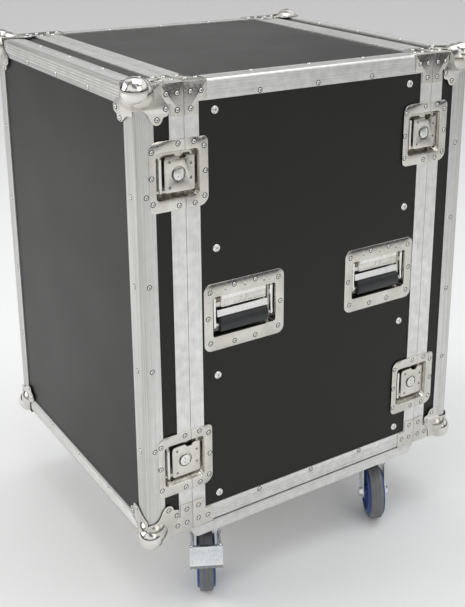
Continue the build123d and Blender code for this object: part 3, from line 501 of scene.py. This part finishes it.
def plated_steel(name, light, dark, rough, metallic_grain=320.0):
    """Plated pressed steel with a faint spangle, finger marks and bright rubbed edges."""
    material, tree, shader = node_material(name)
    skin = placed_group(tree, fine_grain, Scale=metallic_grain, Patch_Scale=28.0)
    worn = placed_group(tree, edge_wear, Start=0.53, Break_Scale=120.0)
    body = ramp(tree, skin["Patches"], (0.3, dark), (0.7, light))
    spangled = mixed(tree, spread(tree, skin["Grain"], 0.0, 0.4), body, dark)
    tree.links.new(
        mixed(tree, worn["Mask"], spangled, (0.94, 0.94, 0.93)), shader.inputs["Base Color"]
    )
    shader.inputs["Metallic"].default_value = 1.0
    tree.links.new(spread(tree, skin["Grain"], *rough), shader.inputs["Roughness"])
    bumped(tree, shader, skin["Grain"], 0.00006, 0.4)
    return material


rail_zinc = plated_steel("zinc_rail", (0.66, 0.66, 0.68), (0.52, 0.52, 0.54), (0.32, 0.44))
clad("rack_rails", rail_zinc, 0.0003)

# ------------------------------------------------------------------ corner braces
# Pressed L plates, nickel plated, riveted over the edging on each side of every seam.
nickel = plated_steel("satin_nickel", (0.74, 0.72, 0.665), (0.55, 0.535, 0.49), (0.14, 0.26))
brace_leg, brace_drop, brace_reach, brace_band = 22.0, 51.0, 38.0, 29.0
brace_sheet = 1.1
brace_lift = 0.05


def plate(mesh, outlines, thickness, soften=0.25):
    """A flat plate at z 0 upwards, from an outline and any holes in it, with softened edges."""
    drawing = bpy.data.curves.new("drawing", "CURVE")
    drawing.dimensions = "2D"
    drawing.fill_mode = "BOTH"
    drawing.extrude = thickness / 2 - soften
    drawing.bevel_depth = soften
    drawing.bevel_resolution = 1
    drawing.offset = -soften
    for outline in outlines:
        line = drawing.splines.new("POLY")
        line.points.add(len(outline) - 1)
        for point, (x, y) in zip(line.points, outline):
            point.co = (x, y, 0, 1)
        line.use_cyclic_u = True
    holder = bpy.data.objects.new("drawing", drawing)
    made = bpy.data.meshes.new_from_object(holder)
    made.transform(Matrix.Translation((0, 0, thickness / 2)))
    bpy.data.objects.remove(holder)
    bpy.data.curves.remove(drawing)
    welded = bmesh.new()
    welded.from_mesh(made)
    bmesh.ops.remove_doubles(welded, verts=welded.verts, dist=0.001)
    welded.to_mesh(made)
    welded.free()
    mesh.from_mesh(made)
    bpy.data.meshes.remove(made)


def rounded(points, radii, steps=4):
    """A polygon whose corners are rounded; radii is one number or one for each corner."""
    outline = []
    count = len(points)
    if isinstance(radii, (int, float)):
        radii = [radii] * count
    for i, corner in enumerate(points):
        here = Vector(corner)
        before = Vector(points[i - 1]) - here
        after = Vector(points[(i + 1) % count]) - here
        reach = min(radii[i], 0.49 * before.length, 0.49 * after.length)
        start, end = here + before.normalized() * reach, here + after.normalized() * reach
        for step in range(steps + 1):
            t = step / steps
            outline.append(tuple((1 - t) ** 2 * start + 2 * t * (1 - t) * here + t * t * end))
    return outline


brace_outline = rounded(
    [
        (0, 0), (brace_reach, 0), (brace_reach, -brace_band), (brace_leg, -brace_band),
        (brace_leg, -brace_drop), (0, -brace_drop),
    ],
    [0, 1, 3, 2, 3, 1],
)


def placed(mesh, part, *places):
    """Adds a separately drawn part to the piece at each place, and lets the part go."""
    for place in places:
        shape = bpy.data.meshes.new("part_shape")
        part.to_mesh(shape)
        shape.transform(place)
        mesh.from_mesh(shape)
        bpy.data.meshes.remove(shape)
    part.free()


def brace_pair(mesh):
    """The side and cap plates of one brace, from the seam at the corner of the case."""
    flat = bmesh.new()
    plate(flat, [brace_outline], brace_sheet)
    placed(
        mesh, flat,
        Matrix(((0, 0, 1, 0), (1, 0, 0, 0), (0, 1, 0, 0), (0, 0, 0, 1))),
        Matrix(((0, 1, 0, 0), (1, 0, 0, 0), (0, 0, 1, 0), (0, 0, 0, 1))),
    )


def corner_frame(sx, sy, sz, y, lift):
    """Frame at a corner edge whose x, y and z run outwards, away from sy, and outwards."""
    return Matrix((
        (sx, 0, 0, sx * (case_side + lift)),
        (0, sy, 0, y),
        (0, 0, sz, case_mid + sz * ((case_high - case_low) / 2 + lift)),
        (0, 0, 0, 1),
    ))


corners = [(sx, sz) for sx in (1, -1) for sz in (1, -1)]
seam_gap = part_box("rear_lid_rim")[0].y - seam_end
brace_lift_m = brace_lift * MM
body_frames = [
    corner_frame(sx, -end, sz, end * seam_end, brace_lift_m)
    for sx, sz in corners for end in (1, -1)
]
body_braces = joined("brace_plates", brace_pair, nickel, "case_body", body_frames)
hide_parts("body_braces")

# ------------------------------------------------------------------ ball corners
# Pressed corner with three wings, a domed collar and a polished ball, riveted over the
# lid's edging at its four corners. Each wing has two lobes that carry the rivets.
polished = plated_steel(
    "polished_ball", (0.80, 0.79, 0.755), (0.66, 0.65, 0.615), (0.06, 0.14), 60.0
)
ball_radius, ball_inset = 21.0, 9.0
collar_radius, collar_inset = 25.0, 16.2
dome_cut = -1.5
corner_lift = 1.25 * MM
wing_outline = rounded(
    [
        (0, 0), (-43, 0), (-44, -8), (-45, -17), (-51, -27), (-57, -34), (-55.5, -47.5),
        (-47, -49), (-44, -58), (-35, -61), (-27, -54), (-22, -42), (-16, -36), (0, -36),
    ],
    [0, 2, 4, 6, 6, 6, 6, 3, 6, 6, 6, 6, 5, 1],
)
wing_turns = (
    Matrix.Identity(4),
    Matrix(((0, 0, 1, 0), (1, 0, 0, 0), (0, 1, 0, 0), (0, 0, 0, 1))),
    Matrix(((0, 1, 0, 0), (0, 0, 1, 0), (1, 0, 0, 0), (0, 0, 0, 1))),
)


def dome(mesh, radius, inset):
    """The part of a sphere that stands out of the corner, centred inset behind each face."""
    ball = bmesh.new()
    bmesh.ops.create_icosphere(ball, subdivisions=5, radius=radius)
    bmesh.ops.translate(ball, verts=ball.verts, vec=(-inset, -inset, -inset))
    hidden = [v for v in ball.verts if max(v.co) < dome_cut]
    bmesh.ops.delete(ball, geom=hidden, context="VERTS")
    placed(mesh, ball, Matrix.Identity(4))


def corner_wings(mesh):
    """Three wings of one pressed corner and the collar round its ball."""
    wing = bmesh.new()
    plate(wing, [wing_outline], brace_sheet)
    placed(mesh, wing, *wing_turns)
    dome(mesh, collar_radius, collar_inset)


def corner_ball(mesh):
    """The polished ball of one corner."""
    dome(mesh, ball_radius, ball_inset)


for name, end in (("front_lid", -1), ("rear_lid", 1)):
    frames = [
        corner_frame(sx, end, sz, end * (lid_face + corner_lift), corner_lift) for sx, sz in corners
    ]
    fittings = joined(f"{name}_corner_wings", corner_wings, nickel, name, frames)
    joined(f"{name}_corner_balls", corner_ball, polished, name, frames)
    lid_frames = [
        corner_frame(sx, end, sz, end * (seam_end + seam_gap), brace_lift_m) for sx, sz in corners
    ]
    joined(f"{name}_brace_plates", brace_pair, nickel, name, lid_frames)
    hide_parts(f"{name}_corners")

# ------------------------------------------------------------------ latch dishes
# Deep-drawn dish, nickel plated, split at the seam. The half on the left carries the hook
# plate and the turning cam, and the half on the right is the keeper with its lip.
dish_sheet = 1.2
hub_offset = 8.5
dish_left, dish_right, dish_half = -58.5, 38.5, 53.5
hollow_left, hollow_right, hollow_half = -47.5, 23.5, 36.0
dish_depth = 11.6


def loop(left, right, low, high, radii, z, steps=6):
    """A level rounded rectangle; radii run from the low left corner round to the low right."""
    corners_round = (
        (left, low, radii[0], 180), (right, low, radii[3], 270),
        (right, high, radii[2], 0), (left, high, radii[1], 90),
    )
    points = []
    for x, y, radius, start in corners_round:
        centre_x = x + radius if x == left else x - radius
        centre_y = y + radius if y == low else y - radius
        for step in range(steps + 1):
            a = math.radians(start + 90 * step / steps)
            points.append((centre_x + radius * math.cos(a), centre_y + radius * math.sin(a), z))
    return points


def inset_loop(left, right, low, high, radius, steps_in, z):
    """The hollow's outline moved in by (left, right, low, high) at a depth."""
    a, b, c, d = steps_in
    return loop(left + a, right - b, low + c, high - d, [radius] * 4, z)


def drawn_dish(mesh, outer, corner_radii, hollow, hollow_radius, floor, depth):
    """Flange with a rolled outer edge, a rounded lip, sloping walls and a flat floor."""
    left, right, low, high = outer
    loops = [
        loop(left, right, low, high, corner_radii, 0),
        loop(left, right, low, high, corner_radii, 0.7 * dish_sheet),
        loop(left + 0.5, right - 0.5, low + 0.5, high - 0.5, corner_radii, dish_sheet),
    ]
    for rim_in, z in ((-1.2, dish_sheet), (-0.4, 0.85 * dish_sheet), (0.1, 0.2), (0.3, -1.0)):
        loops.append(inset_loop(*hollow, hollow_radius, [rim_in] * 4, z))
    loops.append(inset_loop(*hollow, hollow_radius, floor, -depth + 1.2))
    loops.append(inset_loop(*hollow, hollow_radius, [f + 0.8 for f in floor], -depth))
    lofted(mesh, loops, False, True)


def latch_half(direction):
    """Builder of the dish on one side of the seam; -1 is the half with the hook plate."""
    def build(mesh):
        drawn_dish(
            mesh, (dish_left, dish_right, -dish_half, dish_half), [9, 14, 9, 16],
            (hollow_left, hollow_right, -hollow_half, hollow_half), 7,
            (2.5, 4, 7, 3), dish_depth,
        )
        bmesh.ops.bisect_plane(
            mesh, geom=mesh.verts[:] + mesh.edges[:] + mesh.faces[:],
            plane_co=(direction * 0.3, 0, 0), plane_no=(-direction, 0, 0), clear_outer=True,
        )
    return build


def side_frame(place, side):
    """Frame on a side face: x to the viewer's right, y up and z outwards, in metres."""
    return Matrix((
        (0, 0, side, place[0]), (side, 0, 0, place[1]), (0, 1, 0, place[2]), (0, 0, 0, 1)
    ))


latches = {}
for joint in frame["joints"]:
    if joint["name"].startswith("latch_turn_"):
        site = joint["name"].removeprefix("latch_turn_")
        side = 1 if joint["pos_m"][0] > 0 else -1
        seam_y = joint["pos_m"][1] + side * hub_offset * MM
        owner = joint["parent"]
        lid = "front_lid" if seam_y < 0 else "rear_lid"
        keeper = lid if owner == "case_body" else "case_body"
        place = side_frame((side * case_side, seam_y, joint["pos_m"][2]), side)
        latches[site] = (place, owner, keeper)


def frames_on(body, which):
    """Frames of the latch halves on one body; which is 1 for hooks and 2 for keepers."""
    return [latch[0] for latch in latches.values() if latch[which] == body]


hook_left, hook_right, hook_half = -31.6, 18.5, 27.0
hook_face, hook_sheet = -4.2, 1.4
hook_bore = 11.6
hook_dots = ((-23, 19), (-23, -20), (12, 13), (12, -9))
bar_x, bar_z, bar_barrel = -38, -6.4, 2.6
hook_outline = rounded(
    [
        (hook_left, -hook_half), (hook_right, -hook_half), (hook_right, hook_half), (6, hook_half),
        (4, 22.5), (-5.5, 22.5), (-8, hook_half), (hook_left, hook_half),
    ],
    [4, 2, 4, 2, 2, 2, 2, 8],
)


def circle(x, y, radius, count=32):
    """Points of a circle."""
    return [
        (x + radius * math.cos(math.tau * i / count), y + radius * math.sin(math.tau * i / count))
        for i in range(count)
    ]


def turned(mesh, profile, x, y, count=24, close_end=True):
    """A round piece standing on z, from a profile of (radius, height)."""
    loops = [[(px, py, z) for px, py in circle(x, y, radius, count)] for radius, z in profile]
    lofted(mesh, loops, False, close_end)


def hook_plate(mesh):
    """Hook plate with its pressed dots, and the barrel that its spring bar hangs on."""
    lowered = bmesh.new()
    plate(lowered, [hook_outline, circle(-hub_offset, 0, hook_bore)], hook_sheet)
    placed(mesh, lowered, Matrix.Translation((0, 0, hook_face - hook_sheet)))
    for x, y in hook_dots:
        ring = [(3.2, 0), (2.9, 0.45), (2.2, 0.6), (1.7, 0.35), (1.4, -0.2)]
        turned(mesh, [(r, hook_face + z) for r, z in ring], x, y, 20)
    for low, high in ((16, 24), (-26, -19)):
        section = [
            [(bar_x + bar_barrel * math.cos(a), y, bar_z + bar_barrel * math.sin(a))
             for a in (math.tau * i / 16 for i in range(16))]
            for y in (low, high)
        ]
        lofted(mesh, section, True, True)
    bar = [
        [(bar_x + dx, y, bar_z + dz) for dx, dz in ((-2, -1), (2, -1), (2, 1), (-2, 1))]
        for y in (-19, 16)
    ]
    lofted(mesh, bar, True, True)


def keeper_lip(mesh):
    """The lip inside the keeper half that the hook plate laps over."""
    section = ((14, -dish_depth), (17, -dish_depth), (17, -7), (14, -7))
    lip = [[(x, y, z) for x, z in section] for y in (-20, 20)]
    lofted(mesh, lip, True, True)


# painted shade: one near-black steel for the thin pieces that stand in for the shadow in slots,
# pits, pin holes and recesses
painted_shade_steel = plated_steel("dish_shadow", (0.06, 0.058, 0.055), (0.03, 0.03, 0.03), (0.5, 0.7))


def floor_slot_shade(mesh):
    """Painted shade: dark slabs on the dish floor behind the bar, for the open slots seen as a dark
    well.
    """
    for left, right in ((-44.5, -40.4), (-35.8, -32.2)):
        outline = rounded([(left, -24), (right, -24), (right, 22), (left, 22)], 1.5)
        lofted(
            mesh,
            [[(x, y, z) for x, y in outline] for z in (-dish_depth + 0.05, -dish_depth + 0.25)],
            False, True,
        )


def dot_pit_shade(mesh):
    """Painted shade: dark discs at the middle of the hook plate's pressed dots."""
    for x, y in hook_dots:
        turned(mesh, [(1.9, hook_face + 0.3), (1.7, hook_face + 0.62)], x, y, 16)


for body, cad_node in (
    ("case_body", "body_latch_dishes"),
    ("front_lid", "front_lid_latch_dishes"),
    ("rear_lid", "rear_lid_latch_dishes"),
):
    hooks, keepers = frames_on(body, 1), frames_on(body, 2)
    dish = joined(f"{body}_latch_pans", latch_half(-1), nickel, body, hooks)
    joined(f"{body}_keeper_pans", latch_half(1), nickel, body, keepers)
    joined(f"{body}_hook_plates", hook_plate, nickel, body, hooks)
    joined(f"{body}_keeper_lips", keeper_lip, nickel, body, keepers)
    joined(f"{body}_latch_well_shade", floor_slot_shade, painted_shade_steel, body, hooks)
    joined(f"{body}_hook_pit_shade", dot_pit_shade, painted_shade_steel, body, hooks)
    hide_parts(cad_node)

# ------------------------------------------------------------------ latch cams and wings
# The cam is a turned zinc disc with a crescent cast into it. The butterfly wing is a half
# disc, hinged on the cam, that folds flat and is flipped up to turn it.
bright_zinc = plated_steel("bright_zinc", (0.86, 0.86, 0.84), (0.68, 0.68, 0.66), (0.12, 0.24))
cam_radius, cam_face = 11.0, -4.5
wing_radius, wing_hinge = 9.2, 5.5
dimple_x, dimple_ys = -hub_offset - 1.5, (-3.4, 3.4)


def cam_disc(mesh):
    """Cam with a raised rim and a sunk crescent on its left."""
    turned(
        mesh,
        [(cam_radius, -11), (cam_radius, cam_face - 0.8), (10.4, cam_face - 0.3),
         (9.6, cam_face - 0.3), (9.2, cam_face - 1.6), (1.0, cam_face - 1.6)],
        -hub_offset, 0, 40,
    )
    half = [
        (-hub_offset + 8.9 * math.cos(math.radians(a)), 8.9 * math.sin(math.radians(a)))
        for a in range(-84, 85, 12)
    ]
    inner = [
        (-hub_offset - 2.5 + 4.5 * math.cos(math.radians(a)), 8.2 * math.sin(math.radians(a)))
        for a in range(84, -85, -12)
    ]
    outline = half + inner[1:-1]
    lofted(
        mesh,
        [[(x, y, z) for x, y in outline] for z in (cam_face - 1.6, cam_face - 0.1)],
        False, True,
    )


def cam_slot_shade(mesh):
    """Painted shade: a dark arc where the crescent slot round the left of the cam lies in shadow.
    """
    arc = [math.radians(a) for a in range(128, 239, 10)]
    outline = [(-hub_offset + 10.9 * math.cos(a), 10.9 * math.sin(a)) for a in arc]
    outline += [(-hub_offset + 9.7 * math.cos(a), 9.7 * math.sin(a)) for a in reversed(arc)]
    lofted(
        mesh,
        [[(x, y, z) for x, y in outline] for z in (cam_face - 0.4, cam_face + 0.05)],
        False, True,
    )


def wing_pit_shade(mesh):
    """Painted shade: dark discs in the wing's two finger dimples."""
    for y in dimple_ys:
        turned(mesh, [(1.3, cam_face + 1.9), (1.1, cam_face + 2.34)], dimple_x, y, 12)


def wing_flap(mesh):
    """Half-disc wing with a rolled barrel and two finger dimples."""
    arc = [
        (-hub_offset + wing_radius * math.cos(a), wing_radius * math.sin(a))
        for a in (math.radians(degrees) for degrees in range(60, 301, 10))
    ]
    flap = bmesh.new()
    plate(flap, [arc], 1.2, 0.3)
    placed(mesh, flap, Matrix.Translation((0, 0, cam_face + 0.6)))
    dimple = [(1.9, 1.8), (1.5, 2.3), (0.9, 2.3), (0.6, 1.9)]
    for y in dimple_ys:
        turned(mesh, [(radius, cam_face + z) for radius, z in dimple], dimple_x, y, 16)
    barrel = [
        [(-hub_offset + wing_hinge + 1.2 * math.cos(a), y, cam_face + 1.5 + 1.2 * math.sin(a))
         for a in (math.tau * i / 12 for i in range(12))]
        for y in (-7, 7)
    ]
    lofted(mesh, barrel, True, True)


for site, latch in latches.items():
    place = latch[0]
    cam_name, wing_name = f"latch_cam_{site}", f"latch_wing_{site}"
    cam = joined(f"{cam_name}_disc", cam_disc, nickel, cam_name, [place])
    wing = joined(f"{wing_name}_flap", wing_flap, bright_zinc, wing_name, [place])
    # painted shade: a dark arc for the shadow in each cam's crescent slot
    joined(f"{cam_name}_slot", cam_slot_shade, painted_shade_steel, cam_name, [place])
    # painted shade: dark discs for the shadow in each wing's finger dimples
    joined(f"{wing_name}_pits", wing_pit_shade, painted_shade_steel, wing_name, [place])
    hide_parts(cam_name)
    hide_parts(wing_name)

# ------------------------------------------------------------------ recessed handles
# Drawn dish with a spring cover riveted across its top. The steel bail turns on two pins
# behind the cover's ends, and a ribbed rubber grip is moulded over its lower bar.
handle_half, handle_tall = 74.5, 57.0
opening_half, opening_tall = 58.5, 33.5
handle_depth = 13.8


def handle_pan(mesh):
    """Dish of one handle."""
    drawn_dish(
        mesh, (-handle_half, handle_half, -handle_tall, handle_tall), [13] * 4,
        (-opening_half, opening_half, -opening_tall, opening_tall), 4,
        (1.5, 1.5, 1.5, 1.5), handle_depth,
    )


cover_low, cover_face, cover_half, cover_sheet = 12.5, -3.4, 42, 2.0
dome_x, dome_y = 50.5, 40
dent_y = 45


def spring_cover(mesh):
    """Cover plate over the spring, with a rolled edge, a step and ribs, and the domes above."""
    cover = bmesh.new()
    outline = rounded(
        [(-cover_half, cover_low), (cover_half, cover_low),
         (cover_half, opening_tall), (-cover_half, opening_tall)], 2,
    )
    plate(cover, [outline], cover_sheet, 0.5)
    placed(mesh, cover, Matrix.Translation((0, 0, cover_face - cover_sheet)))
    roll = [
        [(x, cover_low + 1.6 + 1.9 * math.cos(a), cover_face - 0.4 + 1.9 * math.sin(a))
         for a in (math.tau * i / 14 for i in range(14))]
        for x in (1 - cover_half, cover_half - 1)
    ]
    lofted(mesh, roll, True, True)
    step = [
        [(x, y, cover_face + rise) for y, rise in ((24.5, 0), (26.0, 1.5), (33.2, 1.5), (33.2, 0))]
        for x in (1 - cover_half, cover_half - 1)
    ]
    lofted(mesh, step, True, True)
    for x, lean in ((-33, -2), (-5, 2), (5, 2), (33, -2)):
        foot, head = (x - 1.1, x + 1.1), (x + lean - 1.1, x + lean + 1.1)
        rib = rounded([(foot[0], 15), (foot[1], 15), (head[1], 23), (head[0], 23)], 1)
        lofted(
            mesh,
            [[(px, py, cover_face) for px, py in rib],
             [(x + (px - x) * 0.6, py, cover_face + 0.7) for px, py in rib]],
            False, True,
        )
    for x in (-dome_x, dome_x):
        corners_of = [(-6, -3), (6, -3), (6, 3), (-6, 3)]
        bump = rounded([(x + dx, dome_y + dy) for dx, dy in corners_of], 2.5)
        lofted(
            mesh,
            [[(px, py, dish_sheet) for px, py in bump],
             [(x + (px - x) * 0.8, dome_y + (py - dome_y) * 0.7, dish_sheet + 0.9)
              for px, py in bump]],
            False, True,
        )
    dent = [(3.2, 0), (2.9, 0.4), (2.0, 0.1), (0.5, -0.1)]
    for x in (-36, 0, 36):
        turned(mesh, [(radius, dish_sheet + z) for radius, z in dent], x, dent_y, 16)


bail_pivot, bail_sink, bail_half, bar_radius = 27.0, 6.0, 53.0, 3.2
strip_section = ((-4, -8.6), (-4, -5.0), (7.0, -6.4), (7.0, -8.6))
grip_centre, grip_tall, grip_thick, grip_half = -17.0, 12.8, 7.3, 45.0
grip_rib, grip_forward = 0.012, 1.8


def bail(mesh):
    """Flat steel bail: two arms with eyes at the pins, bent round to the bar in the grip."""
    for end in (1, -1):
        rows = []
        for y, half_width, half_thick in (
            (bail_pivot + 4, 1.5, 2.0), (bail_pivot + 2, 3.4, 2.5), (bail_pivot - 6, 3.2, 2.3),
            (grip_centre + 10, 3.0, 2.3), (grip_centre, 4.0, 2.5), (grip_centre - 4, 2.5, 2.0),
        ):
            rows.append([
                (end * (bail_half + dx * half_thick), y, -bail_sink + dz * half_width)
                for dx, dz in ((-1, -0.7), (-0.7, -1), (0.7, -1), (1, -0.7),
                               (1, 0.7), (0.7, 1), (-0.7, 1), (-1, 0.7))
            ])
        lofted(mesh, rows, True, True)
    bar = [
        [(x, grip_centre + bar_radius * math.cos(a), -bail_sink + bar_radius * math.sin(a))
         for a in (math.tau * i / 20 for i in range(20))]
        for x in (-bail_half, bail_half)
    ]
    lofted(mesh, bar, True, True)
    lofted(mesh, [[(x, y, z) for y, z in strip_section] for x in (-47, 47)], True, True)


def rubber_grip(mesh):
    """Oval grip with rounded ends and fine ribs along it."""
    rows = []
    for along, size in (
        (-1.0, 0.72), (-0.985, 0.88), (-0.95, 0.97), (-0.9, 1.0), (0.9, 1.0),
        (0.95, 0.97), (0.985, 0.88), (1.0, 0.72),
    ):
        row = []
        for i in range(72):
            a = math.tau * i / 72
            ribbed = size * (1 + (grip_rib if i % 4 < 2 else 0))
            row.append((
                grip_half * along,
                grip_centre + grip_tall * ribbed * math.cos(a),
                -bail_sink + grip_forward + grip_thick * ribbed * math.sin(a),
            ))
        rows.append(row)
    lofted(mesh, rows, True, True)


def moulded(name, colours, rough, grain, depth):
    """Moulded rubber or nylon with a matt skin and dusty patches."""
    material, tree, shader = node_material(name)
    skin = placed_group(tree, fine_grain, Scale=grain, Patch_Scale=30.0)
    worn = placed_group(tree, edge_wear, Start=0.54, Break_Scale=90.0)
    body = ramp(tree, skin["Patches"], (0.3, colours[0]), (0.7, colours[1]))
    tree.links.new(mixed(tree, worn["Mask"], body, colours[2]), shader.inputs["Base Color"])
    tree.links.new(spread(tree, skin["Grain"], *rough), shader.inputs["Roughness"])
    bumped(tree, shader, skin["Grain"], depth, 0.5)
    return material


black_rubber = moulded(
    "grip_rubber_skin", ((0.011, 0.012, 0.013), (0.022, 0.024, 0.026), (0.05, 0.05, 0.05)),
    (0.30, 0.44), 500.0, 0.0002,
)

handle_frames = []
for joint in frame["joints"]:
    if joint["name"].startswith("handle_swing_"):
        body = joint["child"]
        side = 1 if joint["pos_m"][0] > 0 else -1
        x, y, z = joint["pos_m"]
        place = side_frame((x + side * bail_sink * MM, y, z - bail_pivot * MM), side)
        handle_frames.append(place)
        steel = joined(f"{body}_bail", bail, bright_zinc, body, [place])
        joined(f"{body}_grip", rubber_grip, black_rubber, body, [place], 50)
        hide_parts(body)

pans = joined("handle_pans", handle_pan, nickel, "case_body", handle_frames)
joined("handle_spring_covers", spring_cover, nickel, "case_body", handle_frames)
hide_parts("handle_dishes")

# ------------------------------------------------------------------ rivets and rail screws
# Pop rivets with a domed head and the small hole that their pin leaves, and recessed screws
# in cup washers that hold the rack rails through the side panels.
rivet_head = [
    (3.3, 0.0), (3.2, 0.5), (2.7, 1.1), (2.0, 1.45), (1.5, 1.35), (1.3, 0.3), (0.2, 0.2),
]
# painted shade: a dark ring round the foot of each rivet head, where it meets the plate
rivet_foot_shade = [(4.3, 0.04), (3.0, 0.07)]
screw_cup = [(6.5, 0.0), (6.3, 0.8), (5.4, 1.7), (4.6, 1.9), (4.2, 1.5), (3.6, 1.5)]
screw_head = [(3.6, 1.5), (3.1, 1.9), (2.2, 2.1), (1.5, 2.1), (1.2, 1.1), (0.2, 1.0)]
rivet_rise_m, screw_rise_m = 1.5 * MM, 2.2 * MM
longest_rivet = 12 * MM


def loose_solids(node):
    """Lowest and highest corner of each separate solid in a node."""
    mesh = bmesh.new()
    mesh.from_mesh(nodes[node].data)
    bmesh.ops.remove_doubles(mesh, verts=mesh.verts, dist=0.00001)
    seen, boxes = set(), []
    for start in mesh.verts:
        if start in seen:
            continue
        seen.add(start)
        island, queue = [], [start]
        while queue:
            vert = queue.pop()
            island.append(vert.co.copy())
            for edge in vert.link_edges:
                other = edge.other_vert(vert)
                if other not in seen:
                    seen.add(other)
                    queue.append(other)
        low = Vector([min(co[i] for co in island) for i in range(3)])
        high = Vector([max(co[i] for co in island) for i in range(3)])
        boxes.append((low, high))
    mesh.free()
    return boxes


def head_frames(node):
    """Frames of the rivet heads and of the screw heads in one node."""
    rivets, screws = [], []
    for low, high in loose_solids(node):
        size, centre = high - low, (low + high) / 2
        long = max(size) > longest_rivet
        lengths = sorted(range(3), key=lambda i: size[i])
        axis = lengths[-1] if long else lengths[0]
        outwards = centre[axis] - (case_mid if axis == 2 else 0)
        normal = Vector([0, 0, 0])
        normal[axis] = 1 if outwards > 0 else -1
        centre[axis] = high[axis] if outwards > 0 else low[axis]
        rise = screw_rise_m if long else rivet_rise_m
        spin = normal.to_track_quat("Z", "Y").to_matrix().to_4x4()
        place = Matrix.Translation(centre - normal * rise) @ spin
        (screws if long else rivets).append(place)
    return rivets, screws


def one_rivet(mesh):
    """Head of one pop rivet."""
    turned(mesh, rivet_head, 0, 0, 16)


def one_pin_hole_shade(mesh):
    """Painted shade: a dark disc down the hole of one pop rivet, and a dark ring of painted shade
    round its foot.
    """
    turned(mesh, [(1.25, 0.35), (1.1, 0.6), (0.3, 0.55)], 0, 0, 12)
    turned(mesh, rivet_foot_shade, 0, 0, 20)


def one_drive_shade(mesh):
    """Painted shade: a dark cross where the recess in one screw head lies in shadow."""
    for across, along in ((0.45, 1.9), (1.9, 0.45)):
        lofted(
            mesh,
            [[(across * x, along * y, z) for x, y in ((-1, -1), (1, -1), (1, 1), (-1, 1))]
             for z in (1.9, 2.14)],
            False, True,
        )


def one_cup(mesh):
    """Cup washer with its screw head."""
    turned(mesh, screw_cup, 0, 0, 24)
    turned(mesh, screw_head, 0, 0, 16)


for node, body in (
    ("body_fasteners", "case_body"),
    ("front_lid_rivets", "front_lid"),
    ("rear_lid_rivets", "rear_lid"),
):
    rivets, screws = head_frames(node)
    heads = joined(f"{body}_rivet_heads", one_rivet, bright_zinc, body, rivets, 60)
    joined(f"{body}_rivet_hole_shade", one_pin_hole_shade, painted_shade_steel, body, rivets)
    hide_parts(node)
    if screws:
        joined(f"{body}_screw_cups", one_cup, bright_zinc, body, screws, 60)
        joined(f"{body}_screw_drive_shade", one_drive_shade, painted_shade_steel, body, screws)

# ------------------------------------------------------------------ castors
# Pressed and zinc plated top plates and yokes, bolted under the board, with blue nylon wheels
# in a grey elastic tread. The front pair has a broad pedal that brakes the tread.
castor_zinc = plated_steel("blue_zinc", (0.74, 0.77, 0.80), (0.60, 0.63, 0.67), (0.14, 0.26))
clad("castor_plates", castor_zinc, 0.0005)
blue_nylon = moulded(
    "blue_nylon", ((0.010, 0.045, 0.20), (0.016, 0.065, 0.27), (0.06, 0.14, 0.36)),
    (0.28, 0.42), 300.0, 0.0001,
)
grey_tread = moulded(
    "grey_elastic", ((0.13, 0.135, 0.14), (0.20, 0.205, 0.21), (0.27, 0.27, 0.27)),
    (0.55, 0.75), 380.0, 0.0003,
)
core_profile = [
    (5.1, -17.0), (14.0, -17.0), (14.6, -16.4), (16.0, -7.0), (31.5, -6.0), (34.0, -14.8),
    (35.0, -15.5), (41.5, -15.5), (43.2, -14.6), (44.0, -12.5), (44.0, 12.5), (43.2, 14.6),
    (41.5, 15.5), (35.0, 15.5), (34.0, 14.8), (31.5, 6.0), (16.0, 7.0), (14.6, 16.4),
    (14.0, 17.0), (5.1, 17.0),
]
tread_profile = [
    (44.0, -11.5), (47.5, -11.5), (49.2, -10.4), (49.8, -8.0), (50.0, -4.0), (49.4, -3.4),
    (49.4, -2.6), (50.0, -2.0), (50.0, 2.0), (49.4, 2.6), (49.4, 3.4), (50.0, 4.0),
    (49.8, 8.0), (49.2, 10.4), (47.5, 11.5), (44.0, 11.5),
]
spoke_count, spoke_half, spoke_foot = 6, 2, 5.5


def wheel_body(mesh):
    """Blue core with six webs on each side."""
    turned(mesh, core_profile, 0, 0, 64, False)
    for number in range(spoke_count):
        a = math.tau * number / spoke_count
        along = Vector((math.cos(a), math.sin(a), 0))
        aside = Vector((-math.sin(a), math.cos(a), 0))
        for face in (1, -1):
            rows = []
            for radius, height in ((13.5, 15), (33.5, 13)):
                rows.append([
                    along * radius + aside * s * spoke_half + Vector((0, 0, face * h))
                    for s, h in ((-1, spoke_foot), (1, spoke_foot), (0.6, height), (-0.6, height))
                ])
            lofted(mesh, rows, True, True)


def wheel_tyre(mesh):
    """Grey tread with two fine grooves."""
    turned(mesh, tread_profile, 0, 0, 72, False)


for joint in frame["joints"]:
    if joint["name"].startswith("wheel_roll_"):
        site = joint["name"].removeprefix("wheel_roll_")
        wheel = joint["child"]
        spin = Vector(joint["axis"]).to_track_quat("Z", "Y").to_matrix().to_4x4()
        place = Matrix.Translation(joint["pos_m"]) @ spin
        core = joined(f"{wheel}_core", wheel_body, blue_nylon, wheel, [place])
        tyre = joined(f"{wheel}_tyre", wheel_tyre, grey_tread, wheel, [place])
        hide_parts(f"wheel_core_{site}")
        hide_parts(f"wheel_tread_{site}")
        clad(f"castor_fork_{site}", castor_zinc, 0.0006)
        if f"brake_pedal_{site}" in nodes:
            clad(f"brake_pedal_{site}", castor_zinc, 0.0006)
